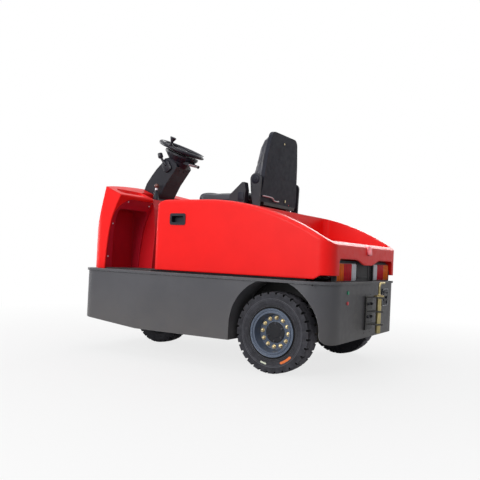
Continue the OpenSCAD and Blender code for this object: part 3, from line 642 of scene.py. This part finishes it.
# dark discs on the skirt: painted shade where it has holes
def make_skirt_holes():
    holes = Forms()
    for y in (-45, 45):
        for z in (407, 200):
            dot(holes, at(SKIRT_REAR, y, z), REAR, 3.2)
    for side in (1, -1):
        dot(holes, at(-240, side * SKIRT_SIDE, 463), (0, side, 0), 4.6)
    holes.piece("skirt_holes", "dark", "chassis", "hull_grey")


JAW_FACE, PIN_X = -337, -389
# heights of the jaw plates' middles, and the distance from there to a weld bead
JAW_PLATES, BEAD = (250, 320, 396), 4.2
# radius and height
PIN_COLLAR = [(26, -0.4), (26, 1.6), (24, 2.4), (9, 2.6), (8, 5), (7, 9), (6.6, 9.2)]


def make_jaw():
    bolts = Forms()
    for z in (288, 358):
        for y in (-27, 27):
            hexagon(bolts, at(JAW_FACE, y, z), REAR, 8, 8)
    bolts.piece("jaw_bolts", "black_bolt", "chassis", "jaw_black", 30)
    welds = Forms()
    for z in JAW_PLATES:
        for side in (1, -1):
            bead = [at(JAW_FACE - 1, side * y, z + side * BEAD) for y in (-44, -22, 0, 22, 44)]
            welds.tube(bead, 2.2, 8)
    welds.piece("jaw_welds", "jaw", "chassis", "jaw_black", 60)
    collar = Forms()
    collar.lathe(at(PIN_X, 0, 406), UP, PIN_COLLAR, 32)
    collar.piece("pin_collar", "zinc", "tow_pin", "pin_zinc", 30)


SOCKET_Y, SOCKET_Z = -280, 384


def make_socket():
    edge = Forms()
    outer, inner = rounded(100, 100, 12), rounded(93, 93, 9)
    edge.border(at(-331, SOCKET_Y, SOCKET_Z), RIGHT, UP,
                ((outer, -0.5), (outer, 0.8), (inner, 0.8), (inner, -0.5)))
    edge.piece("socket_edge", "steel", "chassis", "trim_black", 40)
    body = Forms()
    body.slab(at(-328, SOCKET_Y, SOCKET_Z), RIGHT, UP, rounded(60, 44, 8), 4, 1.2)
    for y in (-15, 15):
        body.lathe(at(-332, SOCKET_Y + y, SOCKET_Z), REAR, [(9, 0), (9, 3), (7.4, 3.6), (7.2, 0.4)], 24)
    body.slab(at(-328, SOCKET_Y, SOCKET_Z + 33), RIGHT, UP, rounded(64, 10, 4), 6, 1.5)
    body.piece("socket_body", "trim", "chassis", "trim_black", 30)


# lamp lenses: name, material, inner and outer edge from the middle
LENSES = (("amber", "amber", 310, 400), ("red", "lamp_red", 200, 310), ("clear", "clear", 137, 200))
RIB_PITCH = 6.5
# a lens rib from its foot up: place ahead of the axle, height, radius
RIB = ((-300.2, 486, 0.6), (-300.9, 489, 2.3), (-300.9, 568, 2.3), (-300.2, 571, 0.6))


def make_lens_ribs(key, material, y0, y1):
    ribs = Forms()
    count = round((y1 - y0) / RIB_PITCH)
    for side in (1, -1):
        for k in range(count):
            y = side * (y0 + (y1 - y0) * (k + 0.5) / count)
            ribs.tube([at(x, y, z) for x, z, _ in RIB], [r for _, _, r in RIB], 8)
    ribs.piece("lens_ribs_" + key, material, "chassis", "lens_" + key, 60)


def make_lamps():
    bezel = Forms()
    outer, inner = rounded(269, 96, 5), rounded(262, 89, 4)
    for side in (1, -1):
        bezel.border(at(-299, side * 268.5, 528.5), RIGHT, UP,
                     ((outer, -12), (outer, 0.6), (inner, 1.4), (inner, -12)))
    bezel.piece("lamp_bezels", "panel", "chassis", "panel_grey", 30)
    for key, material, y0, y1 in LENSES:
        make_lens_ribs(key, material, y0, y1)
    screws = Forms()
    for side in (1, -1):
        for y in (144, 393):
            for z in (490, 567):
                dot(screws, at(-300, side * y, z), REAR, 2.6, 1.4)
    screws.piece("lamp_screws", "steel", "chassis", "panel_grey")
    folds = Forms()
    for y in (-90, 90):
        folds.slab(at(-285, y, 534), RIGHT, UP, rounded(14, 96, 2), 3, 1)
    folds.slab(at(-285, 0, 500), RIGHT, UP, rounded(150, 10, 2), 3, 1)
    folds.piece("panel_folds", "panel", "chassis", "panel_grey", 30)


def make_latch():
    """Raised tab on the hood's rear face, slimmer than the CAD one that it replaces."""
    form = Forms()
    form.slab(at(-316, 0, 646), RIGHT, (0.12, 0, 1), rounded(62, 52, 12), 12, 3)
    latch = form.piece("latch_cap", "latch", "hood_body", "body_red", 40)
    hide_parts("hood_latch")


# front end, measured from the steered wheel's axis

# rear edge of the cowl from the deck up, as in the CAD: place and height
EDGE_LINE = [(51, 480), (45, 580), (36, 666), (26, 722), (13, 778), (-3, 819), (-22, 860), (-49, 909)]
# rivets of the liner's border: distance from the middle and height
RIVETS = ((417, 883), (226, 874), (481, 748), (481, 552))


def edge_x(z):
    """Rear edge of the cowl at a height."""
    for (xa, za), (xb, zb) in zip(EDGE_LINE, EDGE_LINE[1:]):
        if za <= z <= zb:
            return xa + (xb - xa) * (z - za) / (zb - za)
    return EDGE_LINE[-1][0]


def make_rivets():
    rivets = Forms()
    for side in (1, -1):
        for y, z in RIVETS:
            head = [(4.6, -1), (4.4, 1), (3, 2.2), (1, 2.6)]
            rivets.lathe(at_front(edge_x(z) + 3, side * y, z), REAR, head, 16)
    rivets.piece("liner_rivets", "silver", "chassis", "liner_red", 60)


BRAKE_Y, BALL_R = 104, 15.4
# folded boot: radius and height
BOOT = [(25, 0), (25, 4), (19, 7), (20, 14), (17, 17), (18, 26), (15, 29), (16, 40), (13, 43), (13.5, 52),
        (10.5, 56), (10, 66), (7, 68)]


def make_brake_lever():
    """Ball, collar and boot on the parking brake lever."""
    ball = Forms()
    angles = [math.radians(a) for a in range(10, 180, 10)]
    profile = [(BALL_R * math.sin(a) + 0.05, -BALL_R * math.cos(a)) for a in angles]
    ball.lathe(at_front(22, BRAKE_Y, 1020), UP, profile, 28)
    ball.piece("brake_knob", "wood", "chassis", "trim_black", 60)
    collar = Forms()
    collar.lathe(at_front(23.6, BRAKE_Y, 1000), UP, [(8, -8), (9.4, -7), (9.4, 5), (8, 7)], 20)
    collar.piece("brake_collar", "silver", "chassis", "trim_black", 40)
    boot = Forms()
    boot.lathe(at_front(26, BRAKE_Y, 925), UP, BOOT, 28)
    boot.piece("brake_boot", "trim", "chassis", "trim_black", 70)


GRIP_FOOT, GRIP_AXIS = (6, 97, 1206), (6, 4, 28)
# radius and height
GRIP = [(13, -3), (16.4, 1), (17, 10), (16.2, 24), (12.4, 30.5), (6, 32)]


def make_direction_lever():
    house = Forms()
    house.slab(at_front(-32, 75, 1150), (0.86, 0, -0.51), (-0.51, 0, -0.86), rounded(62, 74, 20), 12, 6)
    stem = [at_front(*p) for p in ((-27, 82, 1161), (-14, 88, 1178), (0, 94, 1198), GRIP_FOOT)]
    house.tube(stem, [13, 9.5, 8, 8], 16)
    house.piece("lever_housing", "trim", "chassis", "trim_black", 40)
    grip = Forms()
    grip.lathe(at_front(*GRIP_FOOT), Vector(GRIP_AXIS).normalized(), GRIP, 24)
    grip.piece("direction_grip", "trim", "chassis", "trim_black", 40)
    screws = Forms()
    for y in (-22, 22):
        screws.lathe(at_front(-98, y, 1126), (-0.84, 0, -0.54), [(6, -1), (6, 1.2), (4.6, 2), (4, 0.8)], 16)
    screws.piece("column_screws", "black_bolt", "chassis", "trim_black", 40)


# headlamps: place across and height, how far their rings stand out, and the CAD's bow of the cowl in plan
LAMP_Y, LAMP_Z, LAMP_OUT = 330, 700, 4
COWL_TIP, COWL_R = 201, 2600
# rings of a headlamp: outer and inner radius, height
LAMP_RINGS = ((58, 49, 7), (30, 27, 5))


def make_headlamps():
    face = COWL_TIP + LAMP_OUT - (COWL_R - math.sqrt(COWL_R * COWL_R - LAMP_Y * LAMP_Y))
    lamps = Forms()
    for side in (1, -1):
        place = at_front(face, side * LAMP_Y, LAMP_Z)
        axis = Vector((1, side * 0.125, 0)).normalized()
        for r0, r1, h in LAMP_RINGS:
            profile = [(r0, -8), (r0, h - 2), (r0 - 2, h), (r1 + 1, h), (r1, h - 3), (r1, -8)]
            lamps.lathe(place, axis, profile, 48)
    lamps.piece("headlamp_rings", "steel", "chassis", "lens_clear", 40)


# pedals: place across and width of each, and their tilt
PEDALS, PEDAL_TILT = ((-400, 64), (-290, 84)), math.radians(35)


def make_pedals():
    up = Vector((-math.sin(PEDAL_TILT), 0, math.cos(PEDAL_TILT)))
    out = Vector((-math.cos(PEDAL_TILT), 0, -math.sin(PEDAL_TILT)))
    ribs = Forms()
    for y, width in PEDALS:
        for k in range(-3, 4):
            place = at_front(25, y, 600) + (up * (k * 12.5) + out * 5) / 1000
            ribs.slab(place, up, LEFT, rounded(5.5, width - 10, 2.4), 2.4, 1)
    ribs.piece("pedal_ribs", "mat", "chassis", "rubber_black", 40)


# steering wheel: the CAD's tilt from level, and the rim's middle radius and half thickness
STEER_TILT = math.radians(23)
STEER_R, STEER_THICK = 142, 13
KNOB_ANGLE = math.radians(96)
# radius and height above the rim's plane
HUB = [(40, -23), (70, -22), (104, -18), (114, -14), (115, -11), (112, -9), (70, -9), (46, -3), (38, 2),
       (30, 4.5), (28, 3), (4, 3)]
KNOB = [(9, 9), (8.4, 16), (8, 28), (10, 36), (15, 46), (19.4, 56), (20, 61), (17, 63.6), (6, 64)]
# sections of a spoke: radius, half width, lower and upper height
SPOKE = ((60, 34, -19, -9), (92, 26, -18, -8), (112, 23, -13, -4), (133, 25, -7, 3), (142, 27, -5, 5))


def spoke_section(half, low, high):
    """Six corners of a spoke's section: place across the spoke and height."""
    flat, mid = half * 0.7, (low + high) / 2
    return (-half, mid), (-flat, low), (flat, low), (half, mid), (flat, high), (-flat, high)


def make_steering():
    """Steering wheel with a spinner knob, in place of the plain CAD one, and the switches below it."""
    w = Vector((-math.sin(STEER_TILT), 0, math.cos(STEER_TILT)))
    u = Vector((math.cos(STEER_TILT), 0, math.sin(STEER_TILT)))
    v = w.cross(u)
    hub = at_front(-88, 0, 1270)

    def local(x, y, z):
        return hub + (u * x + v * y + w * z) / 1000

    form = Forms()
    form.hoop(hub, u, v, STEER_R, STEER_THICK, 20)
    form.lathe(hub, w, HUB, 56)
    for a in (0, 120, 240):
        c, s = math.cos(math.radians(a)), math.sin(math.radians(a))
        form.rings([[local(c * r - s * q, s * r + c * q, h) for q, h in spoke_section(half, low, high)]
                    for r, half, low, high in SPOKE])
    knob = local(STEER_R * math.cos(KNOB_ANGLE), STEER_R * math.sin(KNOB_ANGLE), 0)
    form.lathe(knob, w, KNOB, 28)
    form.lathe(knob, w, [(13, 4), (15, 8), (15, 14), (12, 17)], 24)
    wheel = form.piece("steering_rim", "trim", "wheel_of_steering", "trim_black", 40)
    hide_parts("steering_wheel")
    cap = Forms()
    cap.lathe(hub, w, [(27, 1), (27, 5), (24, 7.4), (12, 8.6), (1, 8.8)], 36)
    cap.piece("steering_cap", "shell", "wheel_of_steering", "trim_black", 40)
    # a pale strip on the switch pad's rear side: a painted highlight for its bright patches
    strip = Forms()
    strip.slab(local(-128, 0, -63), -v, w, rounded(84, 12, 4), 3, 1)
    strip.piece("switch_highlight_strip", "silver", "chassis", "trim_black", 40)
    keys = Forms()
    for y in (-28, 0, 28):
        keys.slab(local(-102, y, -54), u, v, rounded(26, 18, 4), 4, 1.4)
    keys.slab(local(-131, -52, -63), -v, w, rounded(20, 20, 7), 7, 2)
    keys.piece("switch_keys", "trim", "chassis", "trim_black", 40)


# seat, measured from the rear axle

# foot of the seat shell: height, place of its rear face, lean
SHELL_FOOT, SHELL_X, SHELL_LEAN = 900, 260, math.radians(3.5)


def on_shell(x, y, z):
    """A place in the seat shell's own frame: ahead of its rear face, left, up along it."""
    c, s = math.cos(SHELL_LEAN), math.sin(SHELL_LEAN)
    return at(SHELL_X + x * c - z * s, y, SHELL_FOOT + x * s + z * c)


# foam under a cover: voxel size and a point's longest move in metres, pressure, frames until it rests
VOXEL, MOST_MOVE = 0.006, 0.009
PRESSURE, CLOTH_FRAMES = 5.0, 20


def settle(obj, held):
    """Points of a form after a cloth simulation with pressure inside; held says which stay."""
    group = obj.vertex_groups.new(name="held")
    group.add([v.index for v in obj.data.vertices if held(v.co)], 1.0, "REPLACE")
    mod = obj.modifiers.new("cloth", "CLOTH")
    mod.settings.quality = 4
    mod.settings.mass = 0.3
    mod.settings.use_pressure = True
    mod.settings.uniform_pressure_force = PRESSURE
    mod.settings.tension_stiffness = 12
    mod.settings.compression_stiffness = 12
    mod.settings.bending_stiffness = 0.6
    mod.settings.vertex_group_mass = "held"
    mod.settings.effector_weights.gravity = 0
    mod.collision_settings.use_collision = False
    scene = bpy.context.scene
    for n in range(1, CLOTH_FRAMES + 1):
        scene.frame_set(n)
    ready = obj.evaluated_get(bpy.context.evaluated_depsgraph_get())
    moved = [v.co.copy() for v in ready.to_mesh().vertices]
    ready.to_mesh_clear()
    obj.modifiers.remove(mod)
    scene.frame_set(1)
    return moved


def soften(obj, held):
    """Fills a closed form like foam under a cover: remesh, cloth with its moves capped, one subdivision."""
    bpy.context.view_layer.objects.active = obj
    for other in bpy.context.selected_objects:
        other.select_set(False)
    obj.select_set(True)
    mod = obj.modifiers.new("remesh", "REMESH")
    mod.mode = "VOXEL"
    mod.voxel_size = VOXEL
    bpy.ops.object.modifier_apply(modifier=mod.name)
    rest = [v.co.copy() for v in obj.data.vertices]
    moved = settle(obj, held)
    for v, a, b in zip(obj.data.vertices, rest, moved):
        step = b - a
        far = step.length
        v.co = a + step * (MOST_MOVE * math.tanh(far / MOST_MOVE) / far) if far > 1e-9 else a
    mod = obj.modifiers.new("fine", "SUBSURF")
    mod.levels = 1
    bpy.ops.object.modifier_apply(modifier=mod.name)


def groove(value, depth, width):
    """Height of a pressed seam at a distance from its middle."""
    return -depth * math.exp(-(value / width) ** 2)


# cushion: ends, lower and upper face, half width
SEAT_X0, SEAT_X1, SEAT_Z0, SEAT_Z1, SEAT_Y = 300, 724, 903, 957, 225
SEAT_ROWS = 26
SEAT_SEAMS, SEAT_SIDE_SEAM = (420, 490, 560, 630), 150
# the piping follows the cushion's outline at this height above its foot, a point every few degrees
PIPING_RISE, PIPING_STEP = 12, 4


def cushion_section(t):
    """Outline of the cushion at a share of its length: drawn in at both ends, raised at the front."""
    x0, x1 = SEAT_X0 + 8, SEAT_X1 - 8
    x = x0 + (x1 - x0) * t
    end = min(x - x0, x1 - x)
    round_in = 1 - math.sqrt(max(0.0, 1 - (1 - min(1, end / 40)) ** 2))
    crest = 4 * (t > 0.7) * math.sin((t - 0.7) / 0.3 * math.pi)
    half = SEAT_Y - 9 - 34 * round_in
    low = SEAT_Z0 + 1 + 12 * round_in
    high = SEAT_Z1 - 7 - 22 * round_in + crest
    mid, r = (low + high) / 2, min(18, (high - low) / 2 - 1)
    return [at(x, y, mid + z) for y, z in rounded(2 * half, high - low, r)]


def press_cushion(cushion):
    """Seams sewn into the cushion's upper side, and its foot kept flat."""
    place = cushion.matrix_world
    back = place.inverted()
    for v in cushion.data.vertices:
        p = place @ v.co
        x, y = (p.x - AXLE_X) * 1000, p.y * 1000
        if p.z * 1000 > SEAT_Z0 + 24:
            move = sum(groove(x - seam, 3.2, 5) for seam in SEAT_SEAMS) if abs(y) < SEAT_SIDE_SEAM - 2 else 0
            move += groove(abs(y) - SEAT_SIDE_SEAM, 4.5, 6)
            fade = min(1, max(0, (min(x - SEAT_X0, SEAT_X1 - x) - 20) / 30))
            p.z += move * fade / 1000
            v.co = back @ p
        elif p.z * 1000 < SEAT_Z0 + 0.4:
            p.z = (SEAT_Z0 + 0.4) / 1000
            v.co = back @ p


def make_piping(cushion):
    """Cord in the cushion's outer seam."""
    middle = at((SEAT_X0 + SEAT_X1) / 2, 0, SEAT_Z0 + PIPING_RISE)
    reach = {}
    for v in cushion.data.vertices:
        p = cushion.matrix_world @ v.co - middle
        if abs(p.z) < 0.004:
            key = round(math.degrees(math.atan2(p.y, p.x)) / PIPING_STEP) % (360 // PIPING_STEP)
            reach[key] = max(reach.get(key, 0), math.hypot(p.x, p.y))
    path = []
    for key in sorted(reach):
        a = math.radians(key * PIPING_STEP)
        path.append(middle + Vector((math.cos(a), math.sin(a), 0)) * (reach[key] + 0.0005))
    rings = []
    for i, p in enumerate(path):
        out = (path[(i + 1) % len(path)] - path[i - 1]).normalized().cross(Vector(UP))
        rings.append([p + (out * c + Vector(UP) * s) * 0.003 for c, s in circle(8)])
    piping = Forms()
    piping.rings(rings, loop=True)
    piping.piece("cushion_piping", "trim", "hood_body", "seat_black", 180)


def make_cushion():
    form = Forms()
    form.rings([cushion_section(i / SEAT_ROWS) for i in range(SEAT_ROWS + 1)])
    cushion = form.piece("seat_cushion", "vinyl", "hood_body", "seat_black", 180)
    soften(cushion, lambda co: co.z < (SEAT_Z0 + 5) / 1000)
    press_cushion(cushion)
    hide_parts("cushion")
    make_piping(cushion)


# back pad: its rear face on the shell, seams, and sections by height, front face and half width
PAD_REAR = 22.5
PAD_SEAMS, PAD_SIDE_SEAM = (150, 215, 280), 120
PAD_ROWS = ((74, 52, 176), (92, 82, 186), (130, 90, 184), (170, 92, 181), (240, 86, 174), (320, 75, 162),
            (365, 63, 150), (392, 46, 130), (404, 34, 112))


def pad_section(z, depth, half):
    r = max(4, min(20, (depth - 24) / 2))
    mid = (PAD_REAR + depth) / 2
    return [on_shell(mid + b, a, z) for a, b in rounded(2 * half, depth - PAD_REAR, r)]


def make_back_pad():
    form = Forms()
    form.rings([pad_section(*row) for row in PAD_ROWS])
    pad = form.piece("seat_back_pad", "vinyl", "hood_body", "seat_black", 180)
    foot, face = on_shell(0, 0, 0), on_shell(24, 0, 240)
    up = (on_shell(0, 0, 300) - foot).normalized()
    normal = (on_shell(30, 0, 240) - face).normalized()
    place = pad.matrix_world.copy()
    soften(pad, lambda co: (place @ co - face).dot(normal) < 0.003)
    back = place.inverted()
    for v in pad.data.vertices:
        p = place @ v.co
        h, y, out = (p - foot).dot(up) * 1000, p.y * 1000, (p - face).dot(normal) * 1000
        if out > 24:
            move = sum(groove(h - seam, 3.4, 5) for seam in PAD_SEAMS) if abs(y) < PAD_SIDE_SEAM - 2 else 0
            move += groove(abs(y) - PAD_SIDE_SEAM, 4.5, 6) * min(1, max(0, (395 - h) / 40))
            v.co = back @ (p + normal * (move / 1000))
        elif out < -1.4:
            v.co = back @ (p - normal * ((out + 1.4) / 1000))
    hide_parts("back_pad")


# marks on the shell's rear face: name, material, radius, places across and heights
SHELL_MARKS = (("shell_bolt", "gold", 6, ((4, 1266),)),
               ("shell_dots", "panel", 3.4, ((47, 1169), (-33, 1166))),
               ("shell_button", "button_red", 3.6, ((-122, 912),)))
# slide lever behind the shell: place across, height, distance behind the shell
SLIDE_LEVER = ((207, 936, 3), (196, 937, 9), (150, 936, 11), (110, 935, 11), (95, 930, 11), (84, 921, 10),
               (60, 919, 10), (24, 921, 9), (18, 924, 3))
RECLINER_CAP = [(26, -0.5), (26, 2), (23, 4), (9, 4.4), (8, 7), (6, 7.6)]


def make_shell_trim():
    foot = on_shell(0, 0, 0)
    rear = (on_shell(0, 0, 200) - on_shell(10, 0, 200)).normalized()
    for key, material, r, spots in SHELL_MARKS:
        marks = Forms()
        for y, z in spots:
            h = (z - SHELL_FOOT) / math.cos(SHELL_LEAN)
            marks.lathe(on_shell(0, y, h), rear, [(r, -0.5), (r * 0.95, 1.2), (r * 0.55, 2.2)], 16)
        marks.piece(key, material, "hood_body", "trim_black", 40)
    lever = Forms()
    lever.tube([on_shell(-out, y, z - SHELL_FOOT) for y, z, out in SLIDE_LEVER], 4.2, 10)
    lever.piece("slide_lever", "silver", "hood_body", "trim_black", 70)
    clip = Forms()
    clip.slab(on_shell(0, -71, 31), RIGHT, on_shell(0, 0, 1) - foot, rounded(10, 18, 3), 3.4, 1)
    clip.piece("shell_clip", "gold", "hood_body", "trim_black", 40)


def make_seat():
    make_cushion()
    make_back_pad()
    make_shell_trim()
    caps = Forms()
    for side in (1, -1):
        caps.lathe(at(284, side * 245, 1027), (0, side, 0), RECLINER_CAP, 32)
    caps.piece("recliner_caps", "shell", "hood_body", "trim_black", 40)
    belt = Forms()
    for side in (1, -1):
        belt.slab(at(352, side * 283, 925), (-side, 0, 0), UP, rounded(40, 50, 8), 3, 1.2)
    belt.piece("belt_covers", "shell", "hood_body", "trim_black", 30)


# under the hood, measured from the rear axle

# near-black strips on the deck under the hood's walls, closing the gap there as a painted shadow line
# between hood and deck: name, middle, length and width
GAP_SHADE_STRIPS = (("left", 288, 507, 952, 8), ("right", 288, -507, 952, 8), ("front", 766, 0, 7, 1000))


def make_hood_gap_shade():
    for key, x, y, length, width in GAP_SHADE_STRIPS:
        gap_strip = Forms()
        gap_strip.slab(at(x, y, 480.2), (1, 0, 0), LEFT, rounded(length, width, 3), 9.4, 2)
        gap_strip.piece("hood_gap_shade_" + key, "gap_shade", "chassis", "rubber_black", 50)


# battery cells in two rows of four: middle of the first, pitch, distance of a row from the middle
CELL_X, CELL_PITCH, CELL_Y = 262, 125, 126
# a link on a cell's inner end: place from the cell's middle and height
LINK = ((-24, 752), (-2, 757), (20, 752))


def make_battery():
    lids, caps, links = Forms(), Forms(), Forms()
    for k in range(4):
        x = CELL_X + CELL_PITCH * k
        for side in (1, -1):
            lids.slab(at(x, side * CELL_Y, 740), (1, 0, 0), LEFT, rounded(116, 236, 6), 7, 2)
            for i in (-1, 0, 1):
                cap = [(13, 0), (13, 6), (11, 9), (5, 10)]
                caps.lathe(at(x, side * CELL_Y + i * 66, 747), UP, cap, 20)
            links.tube([at(x + away, side * 30, z) for away, z in LINK], 6, 10)
    lids.piece("battery_lids", "battery", "chassis", "battery_grey", 30)
    caps.piece("battery_caps", "button_red", "chassis", "battery_grey", 40)
    links.piece("battery_links", "trim", "chassis", "battery_grey", 60)


# stage

SKY, SKY_STRENGTH = (0.95, 0.97, 1.0, 1), 0.34
WHITE = (1, 1, 1, 1)
FLOOR_SIZE = 60
# the floor's glow in the camera: distances from the middle and its share there
GLOW_NEAR, GLOW_FAR = (1.0, 0.78), (3.4, 1.0)


def make_world():
    """Soft sky light; camera, glossy and transmission rays see plain white."""
    scene = bpy.context.scene
    scene.view_settings.view_transform = "Standard"
    world = bpy.data.worlds.new("world")
    scene.world = world
    world.use_nodes = True
    tree = world.node_tree
    sky = tree.nodes["Background"]
    sky.inputs["Color"].default_value = SKY
    sky.inputs["Strength"].default_value = SKY_STRENGTH
    white = tree.nodes.new("ShaderNodeBackground")
    white.inputs["Color"].default_value = WHITE
    white.inputs["Strength"].default_value = 1.0
    path = tree.nodes.new("ShaderNodeLightPath")
    seen = path.outputs["Is Camera Ray"]
    for kind in ("Is Glossy Ray", "Is Transmission Ray"):
        either = tree.nodes.new("ShaderNodeMath")
        either.operation = "MAXIMUM"
        tree.links.new(seen, either.inputs[0])
        tree.links.new(path.outputs[kind], either.inputs[1])
        seen = either.outputs[0]
    mix = tree.nodes.new("ShaderNodeMixShader")
    tree.links.new(seen, mix.inputs[0])
    tree.links.new(sky.outputs[0], mix.inputs[1])
    tree.links.new(white.outputs[0], mix.inputs[2])
    tree.links.new(mix.outputs[0], tree.nodes["World Output"].inputs["Surface"])


def make_floor():
    """Pale floor that fades to white in the camera and takes soft shadows."""
    bpy.ops.mesh.primitive_plane_add(size=FLOOR_SIZE, location=(0, 0, 0))
    floor = bpy.context.object
    floor.name = "floor"
    s = Shade("floor_pale", rough=0.9)
    s.color(s.mix(s.noise(2, 3), (0.52, 0.52, 0.52, 1), (0.48, 0.48, 0.48, 1)))
    glow = s.node("ShaderNodeEmission", Strength=1.0)
    glow.inputs["Color"].default_value = WHITE
    blend = s.node("ShaderNodeMixShader")
    path = s.node("ShaderNodeLightPath")
    reach = s.node("ShaderNodeVectorMath", operation="LENGTH")
    s.link(s.coord, reach.inputs[0])
    far = s.span(reach.outputs["Value"], GLOW_NEAR[0], GLOW_FAR[0], GLOW_NEAR[1], GLOW_FAR[1])
    s.link(s.math("MULTIPLY", path.outputs["Is Camera Ray"], far), blend.inputs[0])
    s.link(s.bsdf.outputs[0], blend.inputs[1])
    s.link(glow.outputs[0], blend.inputs[2])
    s.link(blend.outputs[0], s.tree.nodes["Material Output"].inputs["Surface"])
    floor.data.materials.append(s.mat)


LIGHT_TARGET = Vector((0, 0, 0.5))
# round area lights: name, place, diameter, power
LIGHTS = (("key_left", (0.5, 4.5, 2.3), 2.6, 130),
          ("top_soft", (0.4, 0.0, 4.6), 3.6, 55),
          ("rear_fill", (-4.5, 0.4, 2.6), 2.5, 8),
          ("right_fill", (1.0, -4.5, 2.3), 2.6, 95),
          ("front_fill", (4.6, 0.2, 1.8), 2.5, 70))


def make_lights():
    for name, place, size, power in LIGHTS:
        data = bpy.data.lights.new(name, "AREA")
        data.shape = "DISK"
        data.size = size
        data.energy = power
        light = bpy.data.objects.new(name, data)
        light.location = place
        light.rotation_mode = "QUATERNION"
        light.rotation_quaternion = (Vector(place) - LIGHT_TARGET).to_track_quat("Z", "Y")
        bpy.context.scene.collection.objects.link(light)


make_camera()
make_materials()
dress_nodes()
make_world()
make_floor()
make_lights()
make_wheels()
make_skirt_holes()
make_jaw()
make_socket()
make_lamps()
make_latch()
make_rivets()
make_brake_lever()
make_direction_lever()
make_headlamps()
make_pedals()
make_steering()
make_seat()
make_battery()
make_hood_gap_shade()
